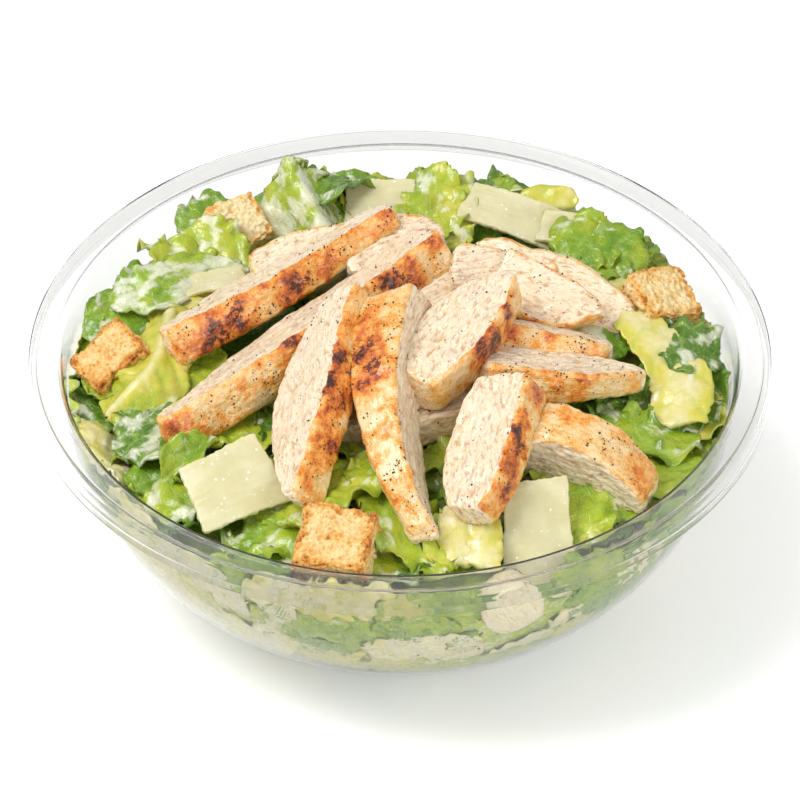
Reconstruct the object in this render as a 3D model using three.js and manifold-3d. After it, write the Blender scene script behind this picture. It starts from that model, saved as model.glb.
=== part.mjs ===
// A chicken caesar salad in a clear, round take-away bowl.
//
// Units are millimetres, +Z is up, and the origin is the centre of the bowl's foot, on the table.
// The front of the bowl is towards -Y. Each separate piece of food is a closed solid of its own:
// the bowl, the heap of dressed lettuce, the slices of grilled chicken, the croutons and the shavings
// of hard cheese. Pieces that touch keep a narrow gap, and a lower piece gives way to the one on top.

import * as THREE from "three";
import { mergeVertices } from "three/addons/utils/BufferGeometryUtils.js";
import Module from "manifold-3d";

// ---- Driving dimensions ------------------------------------------------------------------------

const BOWL = {
  rimRadius: 92.5, // outer edge of the rolled rim
  height: 65,
  rimDepth: 7, // how far the rim's skirt hangs down
  shoulderRadius: 83.3, // outside of the body, just under the rim
  shoulderDrop: 6.2, // how far the shoulder is below the top
  baseRadius: 29, // edge of the flat bottom
  roundness: 1.85, // exponent of the body's curve: 2 is an ellipse
  wall: 0.8,
  segments: 48,
  curveSteps: 6,
};

const HEAP = {
  wallHeight: 53, // where the lettuce meets the wall
  middleHeight: 63,
  lump: 2, // height of the lumps all over
  rings: 7,
  segments: 48,
};

// The leaves that stand highest: place in the plan, height over the rest of the heap, and spread.
const PEAKS = [
  { x: -24, y: 71, rise: 17, spread: 13 },
  { x: 16, y: 71, rise: 13, spread: 13 },
  { x: 52, y: 54, rise: 11, spread: 12 },
  { x: -50, y: 54, rise: 10, spread: 13 },
  { x: -68, y: 34, rise: 11, spread: 13 },
  { x: 74, y: 16, rise: 9, spread: 12 },
];

const GAP = 0.35; // left between pieces that touch
const SLICE_STEPS = { length: 6, width: 2, thickness: 2 };

// Each slice runs from one end to the other along its length. Roll turns it about that line: at 0 its
// cut faces look up and down. The widths, from skin to skin, are taken at both ends and at the quarter
// points; the thickness is given at both ends. Arch bows the slice sideways and sag bows it down.
// A slice higher in the list lies on top of those after it.
const SLICES = {
  chicken_left_top: {
    from: [-57, 3, 66], to: [-2, 42, 77], roll: -32, widths: [5, 13, 17, 13, 8], thick: [11, 7], arch: 4, sag: 1,
  },
  chicken_centre_left: {
    from: [-11, 5, 80], to: [-24, -58, 66], roll: 42, widths: [11, 16, 19, 14, 4], thick: [11, 10], arch: -4, sag: -1,
  },
  chicken_centre: {
    from: [-1.5, 3, 81], to: [6, -65, 61], roll: 114, widths: [12, 15, 16, 14, 4], thick: [16, 7], arch: 2, sag: -5,
  },
  chicken_oval: {
    from: [28, 10, 81], to: [5, -23, 73], roll: 1, widths: [5, 14, 18, 17, 8], thick: [10, 11], arch: -2, sag: 0,
  },
  chicken_left_long: {
    from: [-57, -28, 63], to: [10, 30, 76], roll: -32, widths: [6, 13, 17, 14, 11], thick: [11, 12], arch: 3, sag: 1,
  },
  chicken_front_right: {
    from: [28, -25, 77], to: [18, -60, 64], roll: 25, widths: [15, 18, 18, 17, 10], thick: [11, 9], arch: -1, sag: 0,
  },
  chicken_right_broad: {
    from: [25, 22, 75], to: [50, 13, 69], roll: 38, widths: [13, 14, 14, 11, 3], thick: [9, 7], arch: -2, sag: 0,
  },
  chicken_right_upper: {
    from: [20, 4, 70], to: [52, 3, 64], roll: -32, widths: [13, 14, 14, 12, 7], thick: [10, 7], arch: 0, sag: 0,
  },
  chicken_right_long: {
    from: [20, -12, 70], to: [60, -7, 64], roll: -16, widths: [14, 15, 15, 11, 3], thick: [11, 6], arch: 0, sag: 0,
  },
  chicken_right_low: {
    from: [31, -33, 67], to: [61, -43, 55], roll: 100, widths: [15, 19, 19, 16, 11], thick: [13, 12], arch: 3, sag: 1,
  },
  chicken_back_middle: {
    from: [13, 24, 74], to: [34, 22, 70], roll: 22, widths: [11, 13, 13, 12, 9], thick: [10, 9], arch: 0, sag: 0,
  },
  chicken_back_tip: {
    from: [-14, 33, 70], to: [10, 40, 72], roll: 24, widths: [13, 15, 15, 13, 7], thick: [11, 9], arch: 0, sag: 0,
  },
  chicken_back_left: {
    from: [-36, 31, 66], to: [-8, 38, 70], roll: 18, widths: [9, 12, 13, 12, 9], thick: [11, 10], arch: 1, sag: 0,
  },
  chicken_back_right: {
    from: [19, 37, 69], to: [38, 25, 67], roll: 27, widths: [6, 13, 15, 14, 10], thick: [10, 8], arch: -1, sag: 0,
  },
  chicken_right_edge: {
    from: [29, 30, 68], to: [57, 17, 62], roll: 26, widths: [12, 15, 15, 12, 8], thick: [10, 9], arch: 1, sag: 0,
  },
  chicken_middle_low: {
    from: [5, 17, 69], to: [26, 22, 70], roll: 12, widths: [11, 14, 15, 14, 10], thick: [9, 8], arch: 0, sag: 0,
  },
  chicken_under_centre: {
    from: [-16, -22, 62], to: [19, -17, 63], roll: 0, widths: [12, 15, 16, 14, 10], thick: [9, 9], arch: 1, sag: 0,
  },
  chicken_wall_front: {
    from: [24, -73, 53], to: [31, -72, 38], roll: 80, widths: [11, 14, 14, 12, 8], thick: [8, 8], arch: 0, sag: 0,
  },
  chicken_wall_right: {
    from: [56, -55, 48], to: [62, -48, 37], roll: 60, widths: [11, 14, 14, 12, 9], thick: [9, 9], arch: 0, sag: 0,
  },
  chicken_wall_low: {
    from: [1, -74, 31], to: [20, -72, 30], roll: -45, widths: [7, 10, 11, 10, 6], thick: [8, 8], arch: 0, sag: 0,
  },
};

// Croutons: centre, turn about X, Y and Z in degrees, and the three edges.
const CROUTONS = {
  crouton_front: { at: [-15.6, -67, 58], turn: [22, -6, -12], size: [19, 18, 16] },
  crouton_left: { at: [-70, 7, 57], turn: [20, -25, 35], size: [17, 14, 15] },
  crouton_back_left: { at: [-41, 56, 61.5], turn: [25, 10, 30], size: [14, 14, 11] },
  crouton_right: { at: [63.5, 25, 61.5], turn: [10, 22, 25], size: [16, 15, 15] },
};

// Cheese shavings: centre, turn about X, Y and Z in degrees, length, width, thickness and curl.
const SHAVINGS = {
  cheese_front_left: { at: [-41.5, -48, 64], turn: [32, 6, 26], size: [23, 19, 1.6], curl: 1.0 },
  cheese_front_right: { at: [34, -59.5, 56], turn: [40, 0, 2], size: [17, 30, 1.6], curl: 0.6 },
  cheese_back_left: { at: [-5, 60, 64], turn: [30, 0, -2], size: [18, 17, 1.5], curl: 0.8 },
  cheese_back_right: { at: [28, 57, 65], turn: [24, 5, -19], size: [25, 12, 1.5], curl: 1.4 },
  cheese_back_edge: { at: [43, 52, 63], turn: [16, 8, -12], size: [17, 10, 1.4], curl: 1.6 },
  cheese_left: { at: [-46, 30, 65], turn: [2, -4, 12], size: [16, 8, 1.4], curl: 1.0 },
};

const COLOURS = {
  plastic: { color: 0xe9eeee, roughness: 0.08, metalness: 0, transparent: true, opacity: 0.35 },
  lettuce: { color: 0x8fb23a, roughness: 0.45, metalness: 0 },
  chicken: { color: 0xe3c295, roughness: 0.55, metalness: 0 },
  crouton: { color: 0xd9a24c, roughness: 0.85, metalness: 0 },
  cheese: { color: 0xe6e0b4, roughness: 0.5, metalness: 0 },
};

// ---- Solids ------------------------------------------------------------------------------------

const wasm = await Module();
wasm.setup();

const UP = new THREE.Vector3(0, 0, 1);

/** A closed geometry as a manifold-3d solid, with its shared vertices merged. */
function solidOf(geometry) {
  const bare = new THREE.BufferGeometry();
  bare.setAttribute("position", geometry.getAttribute("position"));
  bare.setIndex(geometry.index);
  const merged = mergeVertices(bare, 1e-4);
  return new wasm.Manifold(
    new wasm.Mesh({
      numProp: 3,
      vertProperties: merged.attributes.position.array,
      triVerts: new Uint32Array(merged.index.array),
    }),
  );
}

/** A manifold-3d solid as a geometry, without crumbs that a cut may have left. */
function geometryOf(solid) {
  const pieces = solid.decompose().sort((a, b) => b.volume() - a.volume());
  const mesh = pieces[0].getMesh();
  const geometry = new THREE.BufferGeometry();
  geometry.setAttribute("position", new THREE.BufferAttribute(new Float32Array(mesh.vertProperties), 3));
  geometry.setIndex(new THREE.BufferAttribute(new Uint32Array(mesh.triVerts), 1));
  geometry.computeVertexNormals();
  return geometry;
}

/** A profile of [radius, height] points turned about Z. */
function turned(profile, segments) {
  const points = profile.map(([radius, height]) => new THREE.Vector2(radius, height));
  return new THREE.LatheGeometry(points, segments).rotateX(Math.PI / 2);
}

/** Moves every vertex of a geometry to shape(x, y, z). */
function reshaped(geometry, shape) {
  const position = geometry.getAttribute("position");
  for (let i = 0; i < position.count; i++) {
    const [x, y, z] = shape(position.getX(i), position.getY(i), position.getZ(i));
    position.setXYZ(i, x, y, z);
  }
  return geometry;
}

// ---- Bowl --------------------------------------------------------------------------------------

/** A point of the body's curve, moved inwards by inset. share runs from 0 at the foot to 1 at the shoulder. */
function bodyPoint(share, inset = 0) {
  const depth = BOWL.height - BOWL.shoulderDrop;
  const curve = (s) => {
    const angle = (s * Math.PI) / 2;
    const reach = Math.sin(angle) ** (2 / BOWL.roundness);
    const rise = 1 - Math.max(Math.cos(angle), 0) ** (2 / BOWL.roundness);
    return new THREE.Vector2(BOWL.baseRadius + (BOWL.shoulderRadius - BOWL.baseRadius) * reach, depth * rise);
  };
  const step = 0.01;
  const along = curve(Math.min(share + step, 1)).sub(curve(Math.max(share - step, 0))).normalize();
  const point = curve(share);
  return [point.x - along.y * inset, point.y + along.x * inset];
}

/** The body's curve as a row of points from the bottom up, moved inwards by inset, without its two ends. */
function bodyCurve(inset = 0) {
  const steps = BOWL.curveSteps;
  return Array.from({ length: steps - 1 }, (_, i) => bodyPoint((i + 1) / steps, inset));
}

function bowlGeometry() {
  const { rimRadius, height, rimDepth, shoulderRadius, baseRadius, wall, segments } = BOWL;
  const shoulder = height - BOWL.shoulderDrop;
  const bead = shoulderRadius + 1.2; // inside of the rim's inner bead
  const outside = [
    [0, 0],
    [baseRadius, 0],
    ...bodyCurve(),
    [shoulderRadius, shoulder],
    [bead + 0.3, height - 2],
    [rimRadius - wall - 0.6, height - 2],
    [rimRadius - wall, height - rimDepth],
  ];
  const inside = [
    [rimRadius, height - rimDepth],
    [rimRadius - 0.2, height - 0.8],
    [rimRadius - 1.2, height],
    [rimRadius - 2.4, height - 0.7],
    [bead + 2.6, height - 0.7],
    [bead + 1.4, height],
    [bead - 0.4, height - 0.6],
    [shoulderRadius - wall, shoulder],
    ...bodyCurve(wall).reverse(),
    [baseRadius - 0.5, wall],
    [0, wall],
  ];
  return turned([...outside, ...inside], segments);
}

/** Everything inside the bowl's wall, as high as any food reaches. */
function cavitySolid() {
  const { baseRadius, wall, shoulderRadius, height } = BOWL;
  const clear = wall + GAP;
  const mouth = shoulderRadius - clear + 0.6;
  const profile = [
    [0, clear],
    [baseRadius - 1, clear],
    ...bodyCurve(clear),
    [shoulderRadius - clear, height - BOWL.shoulderDrop],
    [mouth, height],
    [mouth, height + 40],
    [0, height + 40],
  ];
  return solidOf(turned(profile, BOWL.segments));
}

// ---- Food --------------------------------------------------------------------------------------

/** A smooth line through evenly spaced values, read at a share from 0 to 1. */
function between(values, share) {
  const place = share * (values.length - 1);
  const i = Math.min(Math.floor(place), values.length - 2);
  const t = place - i;
  const [b, c] = [values[i], values[i + 1]];
  const [a, d] = [values[i - 1] ?? 2 * b - c, values[i + 2] ?? 2 * c - b];
  return b + 0.5 * t * (c - a + t * (2 * a - 5 * b + 4 * c - d + t * (3 * (b - c) + d - a)));
}

/** One slice of chicken breast, grown by margin on every side. */
function sliceGeometry(slice, margin = 0) {
  const from = new THREE.Vector3(...slice.from);
  const to = new THREE.Vector3(...slice.to);
  const along = to.clone().sub(from);
  const length = along.length() + 2 * margin;
  along.normalize();
  const flat = UP.clone().addScaledVector(along, -UP.dot(along)).normalize();
  const side = flat.clone().cross(along);
  const roll = THREE.MathUtils.degToRad(slice.roll);
  const across = side.clone().multiplyScalar(Math.cos(roll)).addScaledVector(flat, Math.sin(roll));
  const facing = flat.clone().multiplyScalar(Math.cos(roll)).addScaledVector(side, -Math.sin(roll));

  const shape = (a, b, c) => {
    const bow = 1 - (2 * a) ** 2; // 0 at the tips, 1 half way along
    const width = between(slice.widths, a + 0.5) + 2 * margin;
    const thick = between(slice.thick, a + 0.5) + 2 * margin;
    const crown = Math.abs(b) > 0.49 ? 0.9 * (1 - (2 * c) ** 2) * Math.sign(b) : 0;
    const tip = Math.abs(a) > 0.49 ? 1.2 * (1 - (2 * b) ** 2) * (1 - 0.6 * (2 * c) ** 2) * Math.sign(a) : 0;
    return [a * length + tip, b * width + crown + slice.arch * bow, c * thick - slice.sag * bow];
  };
  const { length: nu, width: nv, thickness: nw } = SLICE_STEPS;
  const geometry = reshaped(new THREE.BoxGeometry(1, 1, 1, nu, nv, nw), shape);
  const middle = from.add(to).multiplyScalar(0.5);
  return geometry.applyMatrix4(new THREE.Matrix4().makeBasis(along, across, facing).setPosition(middle));
}

/** Turns and moves a geometry by three angles in degrees and a place. */
function placed(geometry, turn, at) {
  const angles = new THREE.Euler(...turn.map(THREE.MathUtils.degToRad));
  return geometry.applyMatrix4(new THREE.Matrix4().makeRotationFromEuler(angles).setPosition(...at));
}

/** A toasted cube of bread with blunt corners, a little uneven. */
function croutonGeometry({ at, turn, size }, margin = 0) {
  const half = size.map((edge) => edge / 2 + margin);
  const shape = (x, y, z) => {
    const blunt = 1 - 0.07 * ((2 * x) ** 4 * (2 * y) ** 4 + (2 * y) ** 4 * (2 * z) ** 4 + (2 * z) ** 4 * (2 * x) ** 4);
    const lean = 1 + 0.05 * Math.sin(5 * x + at[0]) - 0.05 * Math.cos(4 * y + at[1]);
    return [2 * x * half[0] * blunt, 2 * y * half[1] * blunt * lean, 2 * z * half[2] * blunt];
  };
  return placed(reshaped(new THREE.BoxGeometry(1, 1, 1, 3, 3, 3), shape), turn, at);
}

/** A thin, slightly curled shaving of hard cheese with a slanting end. */
function shavingGeometry({ at, turn, size, curl }, margin = 0) {
  const [length, width, thick] = size.map((edge) => edge + 2 * margin);
  const shape = (x, y, z) => [
    x * length * (1 - 0.12 * y),
    y * width * (1 + 0.1 * x),
    z * thick + curl * (1 - (2 * x) ** 2) + 0.4 * curl * Math.sin(5 * y + at[0]),
  ];
  return placed(reshaped(new THREE.BoxGeometry(1, 1, 1, 4, 2, 1), shape), turn, at);
}

/** How high the lettuce stands over a place in the plan. */
function heapHeight(x, y) {
  const share = Math.min(Math.hypot(x, y) / BOWL.shoulderRadius, 1);
  const dome = (HEAP.middleHeight - HEAP.wallHeight) * Math.cos((share * Math.PI) / 2);
  const lumps = Math.sin(x / 9 + y / 30 + 1) * Math.cos(y / 10 - x / 25) + 0.6 * Math.sin(x / 5 - y / 8);
  const peaks = PEAKS.map((p) => p.rise * Math.exp(-((x - p.x) ** 2 + (y - p.y) ** 2) / (2 * p.spread ** 2)));
  return HEAP.wallHeight + dome + HEAP.lump * share * lumps + Math.max(...peaks);
}

/** The heap of lettuce before any piece is pressed into it: a dome on a body that follows the bowl. */
function heapSolid(cavity) {
  const { rings, segments } = HEAP;
  const reach = BOWL.shoulderRadius + 2;
  const lid = Array.from({ length: rings + 1 }, (_, i) => [(reach * i) / rings, 1]);
  const drum = turned([[0, 0], [reach, 0], ...lid.reverse()], segments);
  return cavity.intersect(solidOf(reshaped(drum, (x, y, z) => [x, y, z > 0.5 ? heapHeight(x, y) : 0])));
}

// ---- The salad, put together -------------------------------------------------------------------

const toppings = [
  ...Object.entries(SLICES).map(([name, spec]) => ({ name, spec, make: sliceGeometry, look: "chicken" })),
  ...Object.entries(CROUTONS).map(([name, spec]) => ({ name, spec, make: croutonGeometry, look: "crouton" })),
  ...Object.entries(SHAVINGS).map(([name, spec]) => ({ name, spec, make: shavingGeometry, look: "cheese" })),
];

/** A solid with every listed piece cut out of it, each grown by the gap. */
function clearOf(solid, pieces) {
  return pieces.reduce((left, piece) => left.subtract(solidOf(piece.make(piece.spec, GAP))), solid);
}

function meshOf(name, geometry, look) {
  const mesh = new THREE.Mesh(geometry, new THREE.MeshStandardMaterial(COLOURS[look]));
  mesh.name = name;
  return mesh;
}

const salad = new THREE.Group();
const cavity = cavitySolid();
salad.add(meshOf("bowl", bowlGeometry(), "plastic"));
salad.add(meshOf("lettuce_heap", geometryOf(clearOf(heapSolid(cavity), toppings)), "lettuce"));
toppings.forEach(({ name, spec, make, look }, i) => {
  const whole = cavity.intersect(solidOf(make(spec)));
  salad.add(meshOf(name, geometryOf(clearOf(whole, toppings.slice(0, i))), look));
});

export default salad;
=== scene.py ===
"""The finished look of a chicken caesar salad in its clear take-away bowl.

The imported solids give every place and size. This script gives each of them its finished surface: the thin
clear bowl, the sliced grilled chicken, the croutons, the shavings of hard cheese, and the heap of dressed
lettuce as real leaves round a smaller core. Lengths are in millimetres, and become metres where a mesh is
made. The front of the bowl is towards -Y, +X is to the right and +Z is up.
"""

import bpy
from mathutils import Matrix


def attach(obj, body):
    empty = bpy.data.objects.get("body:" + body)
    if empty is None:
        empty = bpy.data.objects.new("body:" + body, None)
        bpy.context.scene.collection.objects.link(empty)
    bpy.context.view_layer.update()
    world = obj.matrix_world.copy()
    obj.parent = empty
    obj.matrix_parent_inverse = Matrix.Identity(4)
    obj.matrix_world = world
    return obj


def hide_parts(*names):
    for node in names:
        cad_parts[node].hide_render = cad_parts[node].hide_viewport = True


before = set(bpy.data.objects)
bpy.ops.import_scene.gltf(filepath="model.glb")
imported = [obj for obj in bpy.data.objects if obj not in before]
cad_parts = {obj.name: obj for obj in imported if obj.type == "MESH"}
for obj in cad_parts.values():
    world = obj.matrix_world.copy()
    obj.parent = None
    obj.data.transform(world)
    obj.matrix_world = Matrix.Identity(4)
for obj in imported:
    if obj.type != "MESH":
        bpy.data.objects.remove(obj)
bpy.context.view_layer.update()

import itertools
import logging
import math
from dataclasses import dataclass, field, replace
from enum import Enum
from typing import ClassVar

import bmesh
import bpy
import numpy as np
from mathutils import Euler, Vector

MM = 0.001
BODY = "root"
LOG = logging.getLogger("salad")
Point = tuple[float, float, float]
Colour = tuple[float, float, float]
Shades = tuple[tuple[float, Colour], ...]  # colours and where each lies on a row from 0 to 1
Knots = np.ndarray | tuple[float, ...] | tuple[tuple[float, ...], ...]  # what a line goes through


# ---- Shapes in numbers ---------------------------------------------------------------------------


def smooth(low: float, high: float, value: np.ndarray) -> np.ndarray:
    """A soft step from 0 at low to 1 at high."""
    share = np.clip((value - low) / (high - low), 0, 1)
    return share * share * (3 - 2 * share)


def between(values: Knots, share: np.ndarray) -> np.ndarray:
    """A smooth line through evenly spaced values.

    Args:
        values: The values that the line goes through, numbers or points.
        share: Where it is read, from 0 at the first value to 1 at the last.

    Returns:
        The line's value at each share.
    """
    knots = np.asarray(values, float)
    knots = np.concatenate([[2 * knots[0] - knots[1]], knots, [2 * knots[-1] - knots[-2]]])
    place = np.clip(np.asarray(share, float), 0, 1) * (len(knots) - 3)
    i = np.minimum(place.astype(int), len(knots) - 4)
    t = (place - i).reshape(place.shape + (1,) * (knots.ndim - 1))
    a, b, c, d = (knots[i + k] for k in range(4))
    return b + 0.5 * t * (c - a + t * (2 * a - 5 * b + 4 * c - d + t * (3 * (b - c) + d - a)))


def normalised(vectors: np.ndarray) -> np.ndarray:
    """Vectors made one long."""
    return vectors / np.maximum(np.linalg.norm(vectors, axis=-1, keepdims=True), 1e-9)


def stacked(*parts: np.ndarray) -> np.ndarray:
    """Arrays of one shape as the coordinates of points in a last dimension."""
    return np.stack(parts, axis=-1)


def turned(one: np.ndarray, two: np.ndarray, angle: np.ndarray | float) -> tuple[np.ndarray, np.ndarray]:
    """Two directions turned towards each other in their plane, by an angle in radians."""
    return one * np.cos(angle) + two * np.sin(angle), two * np.cos(angle) - one * np.sin(angle)


def circle(count: int) -> np.ndarray:
    """Evenly spaced angles all the way round."""
    return np.arange(count) * 2 * math.pi / count


class Noise:
    """Smooth random values over space, the same on every run."""

    ROWS = 256

    def __init__(self, seed: int) -> None:
        """Draws the tables for one seed.

        Args:
            seed: The number that the tables follow from.
        """
        rng = np.random.default_rng(seed)
        self.order = rng.permutation(self.ROWS)
        self.slopes = normalised(rng.normal(size=(self.ROWS, 3)))
        self.spots = rng.random((self.ROWS, 3))

    def _row(self, cell: np.ndarray) -> np.ndarray:
        """The table row for each whole-number cell.

        Args:
            cell: The cells.

        Returns:
            A row number for each.
        """
        first = self.order[cell[:, 0] % self.ROWS]
        second = self.order[(first + cell[:, 1]) % self.ROWS]
        return self.order[(second + cell[:, 2]) % self.ROWS]

    def at(self, points: np.ndarray) -> np.ndarray:
        """Smooth noise with features about 1 wide.

        Args:
            points: Where it is read.

        Returns:
            A value from about -1 to 1 at each point.
        """
        cell = np.floor(points).astype(int)
        part = points - cell
        fade = part**3 * (part * (part * 6 - 15) + 10)
        total = np.zeros(len(points))
        for corner in itertools.product((0, 1), repeat=3):
            step = np.array(corner)
            drop = np.einsum("ij,ij->i", self.slopes[self._row(cell + step)], part - step)
            total += np.prod(np.where(step, fade, 1 - fade), axis=1) * drop
        return total * 1.6

    def fractal(self, points: np.ndarray, octaves: int = 3) -> np.ndarray:
        """Noise with finer noise on it."""
        return sum(self.at(points * 2**i + 7.3 * i) / 2**i for i in range(octaves))

    def shift(self, points: np.ndarray) -> np.ndarray:
        """A smooth random vector at each point."""
        return np.stack([self.at(points + offset) for offset in (0.0, 31.7, 63.1)], axis=1)

    def cells(self, points: np.ndarray, flat: bool = False) -> tuple[np.ndarray, np.ndarray]:
        """Distances to the two nearest of points scattered one to each unit cell.

        Args:
            points: Where they are measured.
            flat: True where all the points lie at a height of 0.

        Returns:
            The distance to the nearest and to the second.
        """
        cell = np.floor(points).astype(int)
        nearest = np.full(len(points), 9.0)
        second = nearest.copy()
        for offset in itertools.product((-1, 0, 1), (-1, 0, 1), (0,) if flat else (-1, 0, 1)):
            there = cell + np.array(offset)
            spot = there + self.spots[self._row(there)] * (1, 1, 0 if flat else 1)
            gap = np.linalg.norm(points - spot, axis=1)
            second = np.minimum(second, np.maximum(nearest, gap))
            nearest = np.minimum(nearest, gap)
        return nearest, second


def box_lattice(steps: tuple[int, int, int]) -> tuple[np.ndarray, np.ndarray]:
    """The surface of a unit cube as a fine grid of quads.

    Args:
        steps: How many faces there are along X, Y and Z.

    Returns:
        The points, from -0.5 to 0.5 each way, and the quads, facing outwards.
    """
    size = np.array(steps) + 1
    quads = []
    for axis, end in itertools.product(range(3), (0, 1)):
        one, two = (axis + 1) % 3, (axis + 2) % 3
        i, j = np.meshgrid(np.arange(steps[one]), np.arange(steps[two]), indexing="ij")
        corners = []
        for di, dj in ((0, 0), (1, 0), (1, 1), (0, 1)) if end else ((0, 0), (0, 1), (1, 1), (1, 0)):
            index = np.zeros(i.shape + (3,), int)
            index[..., axis], index[..., one], index[..., two] = end * steps[axis], i + di, j + dj
            corners.append(index @ (size[1] * size[2], size[2], 1))
        quads.append(stacked(*corners).reshape(-1, 4))
    keys, where = np.unique(np.concatenate(quads), return_inverse=True)
    places = stacked(*np.unravel_index(keys, size))
    return places / np.array(steps) - 0.5, where.reshape(-1, 4)


def ring_quads(rows: int, around: int) -> np.ndarray:
    """The quads of rings of points that follow each other.

    Args:
        rows: How many rings there are.
        around: How many points a ring has.

    Returns:
        The quads.
    """
    i, j = np.meshgrid(np.arange(rows - 1), np.arange(around), indexing="ij")
    here, above, after = i * around, (i + 1) * around, (j + 1) % around
    return stacked(here + j, here + after, above + after, above + j).reshape(-1, 4)


def grid_quads(rows: int, columns: int) -> np.ndarray:
    """The quads of rows of points that follow each other.

    Args:
        rows: How many rows there are.
        columns: How many points a row has.

    Returns:
        The quads.
    """
    i, j = np.meshgrid(np.arange(rows - 1), np.arange(columns - 1), indexing="ij")
    here, above = i * columns + j, (i + 1) * columns + j
    return stacked(here, here + 1, above + 1, above).reshape(-1, 4)


def sheet_quads(rows: int, columns: int) -> np.ndarray:
    """The quads of a closed thin sheet: its upper face, its lower face and its edge.

    Args:
        rows: How many rows of points each face has.
        columns: How many points a row has.

    Returns:
        The quads, where the lower face's points come after all of the upper face's.
    """
    upper = grid_quads(rows, columns)
    below = rows * columns
    rim = np.concatenate([
        np.arange(columns - 1), np.arange(rows - 1) * columns + columns - 1,
        (rows - 1) * columns + np.arange(columns - 1, 0, -1), np.arange(rows - 1, 0, -1) * columns,
    ])
    after = np.roll(rim, -1)
    edge = stacked(after, rim, rim + below, after + below)
    return np.concatenate([upper, upper[:, ::-1] + below, edge])


def normals_of(points: np.ndarray, quads: np.ndarray) -> np.ndarray:
    """The outward direction at each point of a surface.

    Args:
        points: The surface's points.
        quads: Its quads.

    Returns:
        A direction, one long, at each point.
    """
    a, b, c, d = (points[quads[:, k]] for k in range(4))
    faces = np.cross(c - a, d - b)
    total = np.zeros_like(points)
    for k in range(4):
        np.add.at(total, quads[:, k], faces)
    return normalised(total)


def rounded(local: np.ndarray, half: np.ndarray, radius: np.ndarray) -> np.ndarray:
    """Box points with the box's edges rounded.

    Args:
        local: Points on the box, from its centre.
        half: The box's half sizes at each point.
        radius: The radius of its edges at each point.

    Returns:
        The moved points.
    """
    radius = np.minimum(radius, 0.95 * half.min(axis=1))[:, None]
    inner = np.clip(local, radius - half, half - radius)
    return inner + normalised(local - inner) * radius


# ---- Pieces --------------------------------------------------------------------------------------


def shown(name: str, data: bpy.types.ID) -> bpy.types.Object:
    """Adds an object to the scene.

    Args:
        name: Its name.
        data: Its mesh, light or camera.

    Returns:
        The object.
    """
    made = bpy.data.objects.new(name, data)
    bpy.context.scene.collection.objects.link(made)
    return made


@dataclass
class Surface:
    """Closed surfaces gathered for one piece, with values at their points."""

    points: list[np.ndarray] = field(default_factory=list)
    quads: list[np.ndarray] = field(default_factory=list)
    values: dict[str, list[np.ndarray]] = field(default_factory=dict)
    count: int = 0

    def add(self, points: np.ndarray, quads: np.ndarray, **values: np.ndarray) -> "Surface":
        """Adds one closed surface.

        Args:
            points: Its points, in millimetres.
            quads: Its quads.
            values: What the materials read at its points, by name.

        Returns:
            This surface, with all that it has gathered.
        """
        self.points.append(points)
        self.quads.append(quads + self.count)
        self.count += len(points)
        for name, value in values.items():
            self.values.setdefault(name, []).append(value)
        return self

    def piece(self, name: str, material: bpy.types.Material) -> bpy.types.Object:
        """Makes the gathered surfaces into one object, with its place in its mesh.

        Args:
            name: The object's name.
            material: Its finish.

        Returns:
            The object.
        """
        quads = np.concatenate(self.quads).astype(np.int32)
        mesh = bpy.data.meshes.new(name)
        mesh.vertices.add(self.count)
        mesh.vertices.foreach_set("co", (np.concatenate(self.points) * MM).astype(np.float32).ravel())
        mesh.loops.add(quads.size)
        mesh.loops.foreach_set("vertex_index", quads.ravel())
        mesh.polygons.add(len(quads))
        mesh.polygons.foreach_set("loop_start", np.arange(0, quads.size, 4, dtype=np.int32))
        mesh.update(calc_edges=True)
        for key, parts in self.values.items():
            value = np.concatenate(parts).astype(np.float32)
            kind, slot = ("FLOAT", "value") if value.ndim == 1 else ("FLOAT_VECTOR", "vector")
            mesh.attributes.new(key, kind, "POINT").data.foreach_set(slot, value.ravel())
        mesh.shade_smooth()
        mesh.materials.append(material)
        return shown(name, mesh)


def close_poles(piece: bpy.types.Object) -> None:
    """Merges the points that lie on each other and turns every face outwards.

    Args:
        piece: The object that is put right.
    """
    work = bmesh.new()
    work.from_mesh(piece.data)
    bmesh.ops.remove_doubles(work, verts=work.verts, dist=0.01 * MM)
    bmesh.ops.recalc_face_normals(work, faces=work.faces)
    work.to_mesh(piece.data)
    work.free()


def settle(piece: bpy.types.Object, slot: str, *nodes: str) -> None:
    """Puts a finished piece on the salad's body and reports it.

    Args:
        piece: The piece.
        slot: Not used.
        nodes: The solids that it stands in for.
    """
    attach(piece, BODY)
    if nodes:
        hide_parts(*nodes)
    LOG.info("%s: %d faces", piece.name, len(piece.data.polygons))


# ---- Finishes ------------------------------------------------------------------------------------


Socket = bpy.types.NodeSocket
Source = Socket | float | str | Colour | bpy.types.Material  # what an input is linked or set to


class Nodes:
    """A node tree, laid out a line at a time."""

    def __init__(self, tree: bpy.types.NodeTree) -> None:
        """Starts on a tree."""
        self.tree = tree

    def join(self, source: Source, target: Socket) -> None:
        """Links a socket to an input, or sets the input.

        Args:
            source: The socket, or the number, colour, vector or name that the input is set to.
            target: The input.
        """
        if isinstance(source, Socket):
            self.tree.links.new(source, target)
        elif target.type == "RGBA":
            target.default_value = (*source, 1)
        else:
            target.default_value = source

    def node(self, kind: str, output: str | int, inputs: dict[str | int, Source] | None = None,
             **settings: object) -> Socket:
        """Adds a node.

        Args:
            kind: Its type.
            output: Which of its outputs is wanted, by name or number.
            inputs: What each input is linked or set to, by name or number.
            settings: Its settings, by name.

        Returns:
            The output.
        """
        made = self.tree.nodes.new(kind)
        for name, value in settings.items():
            setattr(made, name, value)
        for name, source in (inputs or {}).items():
            self.join(source, made.inputs[name])
        return made.outputs[output]


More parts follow.
